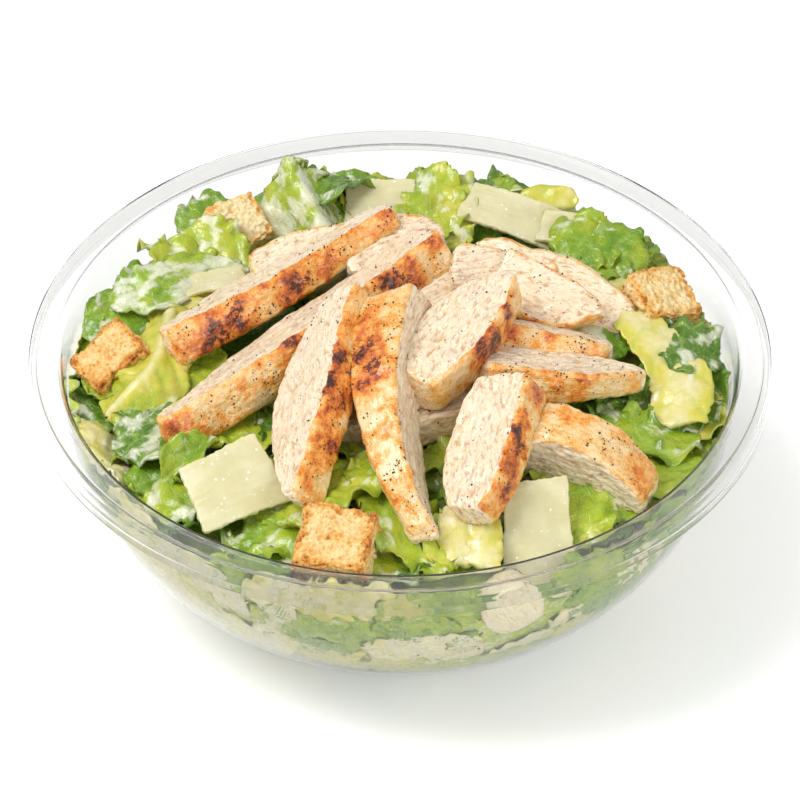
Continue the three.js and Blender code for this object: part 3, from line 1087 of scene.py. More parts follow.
SLICES = (
    Slice("chicken_left_top", (-57, 3, 66), (-2, 42, 77), -32, (5, 13, 17, 13, 8), (11, 7),
          4, 1, Skin.NEAR, ends=(0.5, 0.3), roast=0.05,
          marks=((0.16, -0.3, 6.5, 0.9), (0.27, 0.1, 5.5, 0.92), (0.08, -0.7, 4.5, 0.6),
                 (0.52, -0.05, 5.5, 1.0), (0.64, 0.35, 5, 0.5), (0.86, 0.9, 5, 0.4),
                 (0.95, 0.6, 4, 0.35))),
    Slice("chicken_centre_left", (-11, 5, 80), (-24, -58, 66), 42, (11, 16, 19, 14, 4), (11, 10),
          -4, -1, Skin.FAR, roast=0.1,
          marks=((0.37, 0.7, 4, 1.05), (0.41, -0.5, 4.5, 1.1), (0.50, 0.9, 3.6, 1.1),
                 (0.53, 0.2, 4.5, 1.0), (0.73, 0.0, 6, 0.6), (0.74, -0.6, 4, 0.9),
                 (0.12, 0.3, 6, 0.35), (0.92, 0.3, 5, 0.35))),
    Slice("chicken_centre", (-1.5, 3, 81), (6, -65, 61), 114, (12, 15, 16, 14, 4), (16, 7),
          2, -5, Skin.FAR, ends=(0.3, 0.3), roast=-0.16,
          marks=((0.25, 0.35, 4.8, 1.1), (0.33, -0.1, 4.5, 0.95), (0.40, 0.4, 3.5, 0.8),
                 (0.34, -0.8, 3, 0.5), (0.12, 0.3, 6, 0.4), (0.84, 0.9, 3, 0.45))),
    Slice("chicken_oval", (28, 10, 81), (5, -23, 73), 1, (5, 14, 18, 17, 8), (10, 11),
          -2, 0, Skin.FAR, ends=(0.3, 0.5), roast=-0.42,
          marks=((0.57, 0.5, 4.4, 1.0), (0.44, 0.0, 4.6, 1.15), (0.53, -0.5, 3.6, 1.1),
                 (0.24, 0.6, 3, 1.0))),
    Slice("chicken_left_long", (-57, -28, 63), (10, 30, 76), -32, (6, 13, 17, 14, 11), (11, 12),
          3, 1, Skin.NEAR, ends=(0.8, 0.8), roast=-0.06,
          marks=((0.02, 0.0, 5, 0.62), (0.05, -0.7, 4, 0.8), (0.42, 0.75, 4, 0.85),
                 (0.79, 0.6, 5.5, 0.95), (0.83, -0.1, 4.5, 0.75), (0.25, 0.3, 3, 0.3),
                 (0.97, 0.9, 4, 0.7))),
    Slice("chicken_front_right", (28, -25, 77), (18, -60, 64), 25, (15, 18, 18, 17, 10), (11, 9),
          -1, 0, Skin.FAR, roast=0.08,
          marks=((0.08, -0.1, 4, 0.6), (0.40, 0.6, 3.6, 1.05), (0.47, 0.2, 3.4, 1.0),
                 (0.70, 0.3, 4.5, 0.65), (0.83, -0.2, 4.5, 0.8))),
    Slice("chicken_right_broad", (25, 22, 75), (50, 13, 69), 38, (13, 14, 14, 11, 3), (9, 7),
          -2, 0, Skin.NEAR, back=0.6, roast=-0.25,
          marks=((0.1, 0.6, 3, 0.6), (0.45, 0.7, 3, 0.5))),
    Slice("chicken_right_upper", (20, 4, 70), (52, 3, 64), -32, (13, 14, 14, 12, 7), (10, 7),
          0, 0, Skin.NEAR, roast=-0.42,
          marks=((0.2, 0.6, 3, 0.5), (0.55, 0.8, 2.5, 0.5))),
    Slice("chicken_right_long", (20, -12, 70), (60, -7, 64), -16, (14, 15, 15, 11, 3), (11, 6),
          0, 0, Skin.NEAR, roast=-0.38,
          marks=((0.62, 0.6, 1.8, 0.9), (0.5, 0.2, 4, 0.35), (0.3, 0.9, 3, 0.4))),
    Slice("chicken_right_low", (31, -33, 67), (61, -43, 55), 100, (15, 19, 19, 16, 11), (13, 12),
          3, 1, Skin.FAR, ends=(0.2, 0.1), roast=-0.2,
          marks=((0.2, -0.4, 3, 0.4), (0.9, 0.0, 4, 0.35))),
    Slice("chicken_back_middle", (13, 24, 74), (34, 22, 70), 22, (11, 13, 13, 12, 9), (10, 9),
          0, 0, Skin.FAR, roast=-0.2),
    Slice("chicken_back_tip", (-14, 33, 70), (10, 40, 72), 24, (13, 15, 15, 13, 7), (11, 9),
          0, 0, Skin.FAR, roast=-0.2,
          marks=((0.8, 0.5, 4, 0.5),)),
    Slice("chicken_back_left", (-36, 31, 66), (-8, 38, 70), 18, (9, 12, 13, 12, 9), (11, 10),
          1, 0, Skin.FAR, ends=(0.6, 0.2), roast=-0.1),
    Slice("chicken_back_right", (19, 37, 69), (38, 25, 67), 27, (6, 13, 15, 14, 10), (10, 8),
          -1, 0, Skin.FAR, roast=-0.2,
          marks=((0.4, 0.9, 4, 0.4),)),
    Slice("chicken_right_edge", (29, 30, 68), (57, 17, 62), 26, (12, 15, 15, 12, 8), (10, 9),
          1, 0, Skin.FAR, back=0.5, roast=-0.2),
    Slice("chicken_middle_low", (5, 17, 69), (26, 22, 70), 12, (11, 14, 15, 14, 10), (9, 8),
          0, 0, Skin.FAR, step=0.7),
    Slice("chicken_under_centre", (-16, -22, 62), (19, -17, 63), 0, (12, 15, 16, 14, 10), (9, 9),
          1, 0, Skin.FAR, step=0.7),
    Slice("chicken_wall_front", (25, -76, 53), (31, -73, 38), 80, (11, 14, 14, 12, 8), (11, 11),
          0, 0, Skin.FAR, roast=-1.2, step=0.7),
    Slice("chicken_wall_right", (56, -55, 48), (62, -48, 37), 60, (11, 14, 14, 12, 9), (11, 11),
          0, 0, Skin.FAR, roast=-1.0, step=0.7),
    Slice("chicken_wall_low", (1, -74, 31), (20, -72, 30), -45, (7, 10, 11, 10, 6), (10, 10),
          0, 0, Skin.FAR, roast=-1.2, step=0.7),
)


@dataclass(frozen=True)
class Strewing:
    """Grains strewn over a surface by a node tree, as real mesh."""

    name: str
    slot: str
    where: str  # the value at the surface's points that says how densely they lie
    density: float  # grains on a square centimetre
    sizes: tuple[float, float]
    seed: int = 1
    rarity: float = 3.0  # how much rarer the large grains are
    shape: Point = (1.0, 0.75, 0.55)

    def tree(self) -> bpy.types.NodeTree:
        """Builds the node tree that swaps a surface for the grains on it.

        Returns:
            The tree.
        """
        tree = bpy.data.node_groups.new(self.name, "GeometryNodeTree")
        kinds = {"Surface": "Geometry", "Density": "Float", "Smallest": "Float", "Largest": "Float",
                 "Seed": "Int", "Finish": "Material"}
        for title, kind in kinds.items():
            tree.interface.new_socket(title, in_out="INPUT", socket_type=f"NodeSocket{kind}")
        tree.interface.new_socket("Grains", in_out="OUTPUT", socket_type="NodeSocketGeometry")
        nodes, given = Nodes(tree), tree.nodes.new("NodeGroupInput").outputs

        share = nodes.node("GeometryNodeInputNamedAttribute", "Attribute", {"Name": self.where})
        dense = nodes.node("ShaderNodeMath", 0, {0: given["Density"], 1: share}, operation="MULTIPLY")
        ground = {"Mesh": given["Surface"], "Density": dense, "Seed": given["Seed"]}
        points = nodes.node("GeometryNodeDistributePointsOnFaces", "Points", ground)

        draw = nodes.node("FunctionNodeRandomValue", "Value")
        draw = nodes.node("ShaderNodeMath", 0, {0: draw, 1: self.rarity}, operation="POWER")
        span = {"Value": draw, "To Min": given["Smallest"], "To Max": given["Largest"]}
        size = nodes.node("ShaderNodeMapRange", "Result", span)
        size = nodes.node("ShaderNodeVectorMath", 0, {0: self.shape, "Scale": size}, operation="SCALE")

        about_one_turn = {"Max": (6.3,) * 3}  # in radians
        turn = nodes.node("FunctionNodeRandomValue", "Value", about_one_turn, data_type="FLOAT_VECTOR")
        grain = nodes.node("GeometryNodeMeshIcoSphere", "Mesh")
        laid = {"Points": points, "Instance": grain, "Rotation": turn, "Scale": size}
        grains = nodes.node("GeometryNodeInstanceOnPoints", 0, laid)
        grains = nodes.node("GeometryNodeRealizeInstances", 0, {0: grains})
        finish = {"Geometry": grains, "Material": given["Finish"]}
        grains = nodes.node("GeometryNodeSetMaterial", 0, finish)
        nodes.join(grains, tree.nodes.new("NodeGroupOutput").inputs["Grains"])
        return tree

    def build(self, surface: Surface, material: bpy.types.Material) -> None:
        """Strews the grains and makes them one plain mesh.

        Args:
            surface: What they lie on, with the density value at its points.
            material: Their finish.
        """
        carrier = surface.piece(self.name + "_ground", material)
        tree = self.tree()
        modifier = carrier.modifiers.new("strew", "NODES")
        modifier.node_group = tree
        smallest, largest = self.sizes
        given = {"Density": self.density * 1e4, "Smallest": smallest * MM / 2, "Largest": largest * MM / 2,
                 "Seed": self.seed, "Finish": material}
        for item in tree.interface.items_tree:
            if item.in_out == "INPUT" and item.name in given:
                modifier[item.identifier] = given[item.name]
        strewn = carrier.evaluated_get(bpy.context.evaluated_depsgraph_get())
        mesh = bpy.data.meshes.new_from_object(strewn)
        ground = carrier.data
        bpy.data.objects.remove(carrier)
        bpy.data.meshes.remove(ground)
        bpy.data.node_groups.remove(tree)
        mesh.name = self.name
        settle(shown(self.name, mesh), self.slot)


# ---- Croutons and cheese -------------------------------------------------------------------------


@dataclass(frozen=True)
class Morsel(Topping):
    """A topping with a middle, which is turned and then moved to its place."""

    at: Point
    turn: Point  # in degrees, about Z, then Y, then X
    size: Point

    def placed(self, points: np.ndarray, bowl: Bowl) -> np.ndarray:
        """The piece's points in their place.

        Args:
            points: The points, from the piece's middle.
            bowl: The bowl that they stay inside.

        Returns:
            The turned and moved points.
        """
        matrix = np.array(Euler([math.radians(angle) for angle in self.turn], "ZYX").to_matrix())
        return bowl.keep_in(points @ matrix.T + np.array(self.at, float), CLEARANCE)


@dataclass(frozen=True)
class Crouton(Morsel):
    """A toasted cube of bread, with blunt brown edges and open crumb."""

    LOOK: ClassVar[str] = "toast"

    browned: float = 0.0  # how much browner than most it is
    step: float = 0.34

    def surface(self, bowl: Bowl) -> Surface:
        """Shapes the crouton.

        Args:
            bowl: The bowl that it stays inside.

        Returns:
            The closed surface.
        """
        noise = self.noise()
        cube, quads = box_lattice(tuple(int(edge / self.step) for edge in self.size))
        unit = 2 * cube
        half = np.tile(np.array(self.size) / 2, (len(unit), 1))
        local = rounded(unit * half, half, 1.6 + 0.7 * noise.at(unit * 2))
        x, y = unit[:, 0] / 2, unit[:, 1] / 2
        local[:, 1] *= 1 + 0.05 * np.sin(5 * x + self.at[0]) - 0.05 * np.cos(4 * y + self.at[1])
        local += 0.55 * noise.shift(local / 5)
        outward = normals_of(local, quads)

        # bubbles of two sizes open the crumb, the large ones in patches
        nearest, _ = noise.cells((local + 0.5 * noise.shift(local / 1.5)) / 2.0)
        small, _ = noise.cells((local + 0.3 * noise.shift(local)) / 1.15 + 5)
        pit = (1 - smooth(0.12, 0.6, nearest)) * smooth(-0.45, 0.3, noise.at(local / 4.5))
        crumb = 1 - smooth(0.1, 0.62, small)
        lift = -1.3 * pit - 0.7 * crumb + 0.3 * noise.fractal(local / 1.5, 2)

        # it is brownest along its edges and at its corners
        order = np.sort(np.abs(local / half), axis=1)
        toast = smooth(0.62, 1.0, order[:, 1]) * (0.75 + 0.5 * noise.at(local / 4))
        toast = toast + 0.25 * smooth(0.6, 1, order[:, 0])
        toast += 0.35 * smooth(0.0, 0.6, noise.at(local / 6 + 3)) + self.browned
        points = self.placed(local + outward * lift[:, None], bowl)
        # the pits go to the finish as a value, which it darkens with painted shade
        return Surface().add(points, quads, toast=np.clip(toast, -0.6, 1), pit=np.maximum(pit, 0.7 * crumb))


CROUTONS = (
    Crouton("crouton_front", (-15.6, -67, 58), (22, -6, -12), (19, 18, 16), 0.03),
    Crouton("crouton_left", (-70, 7, 57), (20, -25, 35), (17, 14, 15), 0.12),
    Crouton("crouton_back_left", (-41, 56, 61.5), (25, 10, 30), (14, 14, 11), -0.45),
    Crouton("crouton_right", (63.5, 25, 61.5), (10, 22, 25), (16, 15, 15), -0.1),
)


@dataclass(frozen=True)
class Shaving(Morsel):
    """A thin, slightly curled shaving of hard cheese with crumbled edges."""

    LOOK: ClassVar[str] = "shaving"

    curl: float  # how far its middle stands out
    step: float = 0.33

    def surface(self, bowl: Bowl) -> Surface:
        """Shapes the shaving.

        Args:
            bowl: The bowl that it stays inside.

        Returns:
            The closed surface.
        """
        noise = self.noise()
        length, width, _ = self.size
        cube, quads = box_lattice((int(length / self.step), int(width / self.step), 4))
        x, y, _ = cube.T
        half = np.tile(np.array(self.size) / 2, (len(cube), 1))
        local = rounded(2 * cube * half, half, np.full(len(cube), 0.3))
        rim = np.maximum(smooth(0.86, 1.0, np.abs(2 * x)), smooth(0.86, 1.0, np.abs(2 * y)))
        bite = 0.35 * noise.fractal(local / 1.5, 3) + 0.5 * noise.at(local / 6)
        local[:, :2] += normalised(local[:, :2]) * (rim * (bite - 0.1))[:, None]
        local[:, 0] *= 1 - 0.12 * y
        local[:, 1] *= 1 + 0.1 * x
        local[:, 2] *= 0.85 + 0.3 * noise.at(cube * (3, 3, 0))
        local[:, 2] += self.curl * (1 - (2 * x) ** 2) + 0.4 * self.curl * np.sin(5 * y + self.at[0])
        local[:, 2] += 0.12 * noise.at(local * (0.15, 0.7, 0)) + 0.06 * noise.at(local / 0.9)
        return Surface().add(self.placed(local, bowl), quads)


SHAVINGS = (
    Shaving("cheese_front_left", (-41.5, -48, 64), (32, 6, 26), (23, 19, 1.6), 1.0),
    Shaving("cheese_front_right", (34, -59.5, 56), (40, 0, 2), (17, 30, 1.6), 0.6),
    Shaving("cheese_back_left", (-5, 60, 64), (30, 0, -2), (18, 17, 1.5), 0.8),
    Shaving("cheese_back_right", (28, 57, 65), (24, 5, -19), (25, 12, 1.5), 1.4),
    Shaving("cheese_back_edge", (43, 52, 63), (16, 8, -12), (17, 10, 1.4), 1.6),
    Shaving("cheese_left", (-46, 30, 65), (2, -4, 12), (16, 8, 1.4), 1.0),
)


# ---- The lettuce ---------------------------------------------------------------------------------


@dataclass(frozen=True)
class Heap:
    """The heap of lettuce: how high it stands, as its solid does, and its inside."""

    wall_height: float = 53.0
    middle_height: float = 63.0
    lump: float = 2.0
    peaks: tuple[tuple[float, float, float, float], ...] = (  # x, y, rise, spread
        (-24, 71, 17, 13), (16, 71, 13, 13), (52, 54, 11, 12),
        (-50, 54, 10, 13), (-68, 34, 11, 13), (74, 16, 9, 12),
    )
    sunk: float = 5.5  # how far the inside stays under the top
    seed: int = 5
    around: int = 160
    up: int = 34
    over: int = 40

    def height(self, x: np.ndarray | float, y: np.ndarray | float, bowl: Bowl) -> np.ndarray:
        """How high the heap stands.

        Args:
            x: Places in the plan, across.
            y: The same places, front to back.
            bowl: The bowl that the heap fills.

        Returns:
            The height over each place.
        """
        share = np.minimum(np.hypot(x, y) / bowl.shoulder, 1)
        dome = (self.middle_height - self.wall_height) * np.cos(share * math.pi / 2)
        lumps = np.sin(x / 9 + y / 30 + 1) * np.cos(y / 10 - x / 25) + 0.6 * np.sin(x / 5 - y / 8)
        rises = [rise * np.exp(-((x - px) ** 2 + (y - py) ** 2) / (2 * spread**2))
                 for px, py, rise, spread in self.peaks]
        return self.wall_height + dome + self.lump * share * lumps + np.max(rises, axis=0)

    def core(self, bowl: Bowl, material: bpy.types.Material) -> None:
        """Makes the inside of the heap, under the leaves: a lumpy body a little smaller than the solid, dark
        with painted shade where the leaves cover it.

        Args:
            bowl: The bowl that the heap fills.
            material: The leaves' finish.
        """
        noise, angle = Noise(self.seed), circle(self.around)
        radius, rise = bowl.body(np.linspace(0.0, 0.93, self.up), bowl.wall + 0.9)
        over = radius[-1] * (1 - np.linspace(0, 1, self.over + 1)[1:-1])
        rings = np.concatenate([radius, over])[:, None]
        x, y = rings * np.cos(angle), rings * np.sin(angle)
        top = self.height(x[self.up:], y[self.up:], bowl) - self.sunk
        grid = stacked(x, y, np.concatenate([rise[:, None] + 0 * angle, top])).reshape(-1, 3)
        height = grid[:, 2:].copy()
        grid += (0.5 + 0.6 * smooth(44, 52, height)) * noise.shift(grid / 9) * smooth(0, 6, height)

        # a fan of faces round its lowest point and one round its top
        j = np.arange(self.around)
        after, last, low = (j + 1) % self.around, (len(rings) - 1) * self.around, len(grid)
        quads = np.concatenate([
            ring_quads(len(rings), self.around),
            stacked(0 * j + low, after, j, j), stacked(0 * j + low + 1, last + j, last + after, last + after),
        ])
        poles = [[0, 0, rise[0]], [0, 0, self.height(0.0, 0.0, bowl) - self.sunk]]
        points = np.concatenate([grid, poles])

        # painted shade: darker green high up, under the leaves; low down against the wall it is paler, with
        # more dressing
        inner = smooth(46, 52, points[:, 2])
        shade = 0.46 + 0.26 * inner + 0.24 * noise.at(points / 8)
        creamy = 0.5 - 0.25 * inner + 0.4 * noise.at(points / 6 + 5) * (1 - inner)
        values = {"tone": shade, "dress": creamy, "vein": np.zeros(len(points)), "blade": points}
        piece = Surface().add(bowl.keep_in(points, 0.2), quads, **values).piece("lettuce_core", material)
        close_poles(piece)
        settle(piece, "lettuce", "lettuce_heap")


@dataclass(frozen=True)
class Sight:
    """The camera's sight of the heap: where the points of its 800 by 800 picture lie."""

    heap: Heap
    bowl: Bowl
    scale: float = 4.015  # pixels to a millimetre
    axis: float = 399.5  # pixels from the picture's left edge to the bowl's axis
    table: float = 562.2  # pixels from its top edge to the foot's middle
    slope: float = 0.63  # how much of a length front to back shows in the picture's height
    upright: float = 0.777  # and how much of a height
    front: float = -90.0  # where the search along a line of sight begins
    pace: float = 0.1

    def place(self, right: float, down: float, lift: float = 0.0, y: float | None = None) -> Point:
        """Where a point of the picture lies, to a whole millimetre.

        Args:
            right: Pixels from the picture's left edge.
            down: Pixels from its top edge.
            lift: How far over the heap it is, unless y is given.
            y: Its place front to back, where that is chosen and the lift follows.

        Returns:
            Its place in the plan, and its height over the heap.
        """
        x, level = (right - self.axis) / self.scale, (self.table - down) / self.scale
        rows = np.arange(self.front, -self.front, self.pace) if y is None else np.array([float(y)])
        gap = (level - self.slope * rows) / self.upright - self.heap.height(x, rows, self.bowl)
        if y is not None:
            return round(x), y, round(float(gap[0]), 1)
        return round(x), round(float(rows[np.argmax(gap <= lift)])), lift


@dataclass
class Blade:
    """A leaf's blade, laid out flat as rows of points."""

    noise: Noise
    length: float
    s: np.ndarray  # each row's place along it, 0 to 1
    v: np.ndarray  # each column's place across it, -1 to 1
    run: np.ndarray  # each point's distance along it
    side: np.ndarray  # and across it, from its midline
    jag: np.ndarray  # how far its edge is torn out at each point

    @property
    def shape(self) -> tuple[int, int]:
        """How many rows and columns of points there are."""
        return self.run.shape

    @property
    def flat(self) -> np.ndarray:
        """Each point's place on the blade laid out flat."""
        return stacked(self.run, self.side, 0 * self.run).reshape(-1, 3)


@dataclass(frozen=True)
class Tearing:
    """How far a leaf's torn edges stray from its outline."""

    teeth: float  # how strong the small teeth are
    sides: float  # how far its sides stray, as a share of its width
    ends: float  # how far its ends stray
    corners: float  # how far its corners are torn off


@dataclass(frozen=True)
class Leaf:
    """A torn piece of romaine that lies on the heap, with a rib, puckers and a ruffled margin."""

    TEARING: ClassVar[Tearing] = Tearing(teeth=0.5, sides=0.17, ends=1.6, corners=2.0)
    SINK: ClassVar[float] = 0.0  # how far its relief is pressed in

    path: tuple[Point, ...]  # its midline: place in the plan, and height over the heap
    widths: tuple[float, ...]  # across it, at evenly spaced places along
    lean: float = 0.0  # turned about its midline, in degrees
    fold: float = 0.0  # both halves bent up along the rib, in degrees
    ruffle: float = 2.0
    tone: float = 0.5  # 0 is pale rib, 1 is the darkest green
    dressing: float = 0.3
    rib: float = 0.0  # width of the pale rib
    seed: int = 1
    step: float = 0.8

    def blade(self) -> Blade:
        """Lays the leaf's torn outline out flat.

        Returns:
            The blade.
        """
        noise, torn = Noise(self.seed), self.TEARING
        length = float(np.linalg.norm(np.diff(np.array(self.path, float), axis=0), axis=1).sum())
        s, v = (np.linspace(start, 1, max(int(size / self.step), 8))
                for start, size in ((0, length), (-1, max(self.widths))))
        run, side = (s * length)[:, None] + 0 * v, between(self.widths, s)[:, None] / 2 * v
        blade = Blade(noise, length, s, v, run, side, 0 * run)
        jag = noise.fractal(blade.flat / (7, 7, 1), 3) + torn.teeth * noise.at(blade.flat / (1.9, 1.9, 1))
        blade.jag = jag.reshape(run.shape)
        blade.side = side * (1 + torn.sides * blade.jag * np.abs(v) ** 3)
        ends = (np.abs(2 * s - 1) ** 6 * np.sign(2 * s - 1))[:, None]
        blade.run = run + ends * (torn.ends * blade.jag - torn.corners * v**2)
        return blade

    def laid(self, blade: Blade, heap: Heap, bowl: Bowl) -> np.ndarray:
        """Lays the blade over the heap along the leaf's midline, leaning and folded.

        Args:
            blade: The blade.
            heap: The heap that it lies on.
            bowl: The bowl that the heap fills.

        Returns:
            The places of its points, row by row.
        """
        path = np.array(self.path, float)
        path[:, 2] += heap.height(path[:, 0], path[:, 1], bowl)
        middle = between(path, blade.s)
        along = normalised(np.gradient(middle, axis=0))
        across = normalised(np.cross(along, (0, 0, 1)))
        across, out = turned(across, np.cross(across, along), np.radians(self.lean))
        bend = math.radians(self.fold) * np.tanh(blade.side / 2.0)
        reach = np.abs(blade.side) * np.cos(bend) * np.sign(blade.side)
        rise = np.abs(blade.side) * np.sin(np.abs(bend)) * np.sign(self.fold)
        ahead = blade.run - (blade.s * blade.length)[:, None]
        return (middle[:, None] + along[:, None] * ahead[..., None] + across[:, None] * reach[..., None]
                + out[:, None] * rise[..., None])

    def relief(self, blade: Blade) -> tuple[np.ndarray, ...]:
        """How far the blade stands out of its smooth shape, and where its veins and rib are.

        Args:
            blade: The blade.

        Returns:
            The height, how far it is a vein, how far it is the rib, and how far it is a puckered hollow.
        """
        noise, flat = blade.noise, blade.flat
        s, v = np.repeat(blade.s, len(blade.v)), np.tile(blade.v, len(blade.s))
        margin = np.maximum(np.abs(v), 0.9 * smooth(0.75, 1, np.abs(2 * s - 1)))
        from_rib = np.abs(flat[:, 1])
        rib = np.exp(-((from_rib / self.rib) ** 2)) if self.rib else np.zeros(len(flat))

        # the blade puckers between small veins, and branches leave the rib at a slant
        nearest, second = noise.cells((flat + 1.2 * noise.shift(flat / 4)) / 3.7, flat=True)
        pucker = smooth(0.0, 0.5, second - nearest)
        lateral = (flat[:, 0] - 0.9 * from_rib) / 7.5 + 0.5 * noise.at(flat / 9)
        branch = 1 - smooth(0.04, 0.15, np.abs(lateral - np.round(lateral)))
        vein = np.clip(np.maximum(0.6 * (1 - smooth(0.02, 0.14, second - nearest)), branch * 0.8), 0, 1)

        # its margin ruffles in waves of its own
        phase = (flat[:, 0] + 0.3 * np.abs(flat[:, 1])) / 6.2 + 0.5 * noise.at(flat / 6) + 0.16 * self.seed
        wave = np.sin(2 * math.pi * phase)
        relief = ((0.1 + 0.85 * self.tone) * pucker * (1 - rib) + self.ruffle * 0.75 * margin**3 * wave
                  + noise.at(flat / 12 + 4) + 0.45 * self.ruffle * margin * noise.at(flat / 3.6))
        return relief - 0.55 * branch * (1 - rib), vein, rib, 1 - pucker

    def add_to(self, surface: Surface, heap: Heap, bowl: Bowl) -> None:
        """Adds the leaf to a surface: its blade made thick, with its dressing and its colour values.

        Args:
            surface: The surface.
            heap: The heap that it lies on.
            bowl: The bowl that it stays inside.
        """
        blade = self.blade()
        noise, flat, faces = blade.noise, blade.flat, grid_quads(*blade.shape)
        relief, vein, rib, hollow = self.relief(blade)
        mid = self.laid(blade, heap, bowl).reshape(-1, 3)
        mid = mid + normals_of(mid, faces) * (relief - self.SINK)[:, None]
        normal = normals_of(mid, faces)
        wet = noise.fractal(flat * (0.12, 0.21, 1) + 11, 3)
        dress = smooth(-0.45, 0.65, wet - 0.80 + 1.3 * self.dressing + 0.22 * hollow)
        half = 0.18 + 0.9 * rib
        upper = mid + normal * (half + 0.3 * smooth(0.4, 0.9, dress))[:, None]
        lower = mid - normal * half[:, None]
        tone = self.tone + 0.16 * noise.at(flat / 10) + 0.08 * noise.at(flat / 3)
        tone = tone * (1 - rib) + 0.06 * rib
        surface.add(
            bowl.keep_in(np.concatenate([upper, lower]), 0.05), sheet_quads(*blade.shape),
            tone=np.concatenate([tone, 0.85 * tone]), dress=np.concatenate([dress, 0.6 * dress]),
            vein=np.concatenate([vein, vein]), blade=np.concatenate([flat, flat + (0, 0, 9)]),
        )


BODY_LINE = 87.5  # length of the body's curve from the foot to the shoulder


@dataclass(frozen=True)
class WallLeaf(Leaf):
    """A leaf pressed against the inside of the bowl's wall, and seen through it."""

    TEARING: ClassVar[Tearing] = Tearing(teeth=0.0, sides=0.2, ends=2.0, corners=3.0)
    SINK: ClassVar[float] = 0.8

    bearing: float = 0.0  # where it lies round the bowl, in degrees from +X
    share: float = 0.5  # how far up the body, 0 at the foot and 1 at the shoulder
    turn: float = 0.0  # how far its length turns up from level
    depth: float = 0.5

    def laid(self, blade: Blade, heap: Heap, bowl: Bowl) -> np.ndarray:
        """Lays the blade along the inside of the wall.

        Args:
            blade: The blade.
            heap: The heap, which it needs nothing of.
            bowl: The bowl.

        Returns:
            The places of its points, row by row.
        """
        turn, ahead = math.radians(self.turn), blade.run - blade.length / 2
        level = ahead * math.cos(turn) - blade.side * math.sin(turn)
        up = ahead * math.sin(turn) + blade.side * math.cos(turn)
        share = self.share + up / BODY_LINE
        radius, rise = bowl.body(share, bowl.wall + self.depth + 2.5 * blade.jag**2)
        rise = rise + np.maximum(share - 1, 0) * BODY_LINE
        angle = math.radians(self.bearing) + level / radius
        return stacked(radius * np.cos(angle), radius * np.sin(angle), rise)


def straight(length: float) -> tuple[Point, Point]:
    """The midline of a straight leaf."""
    return (0, 0, 0), (length, 0, 0)


class Side(Enum):
    """Where a group of leaves lies in the bowl."""

    BACK = "back"
    LEFT = "left"
    FRONT = "front"
    RIGHT = "right"


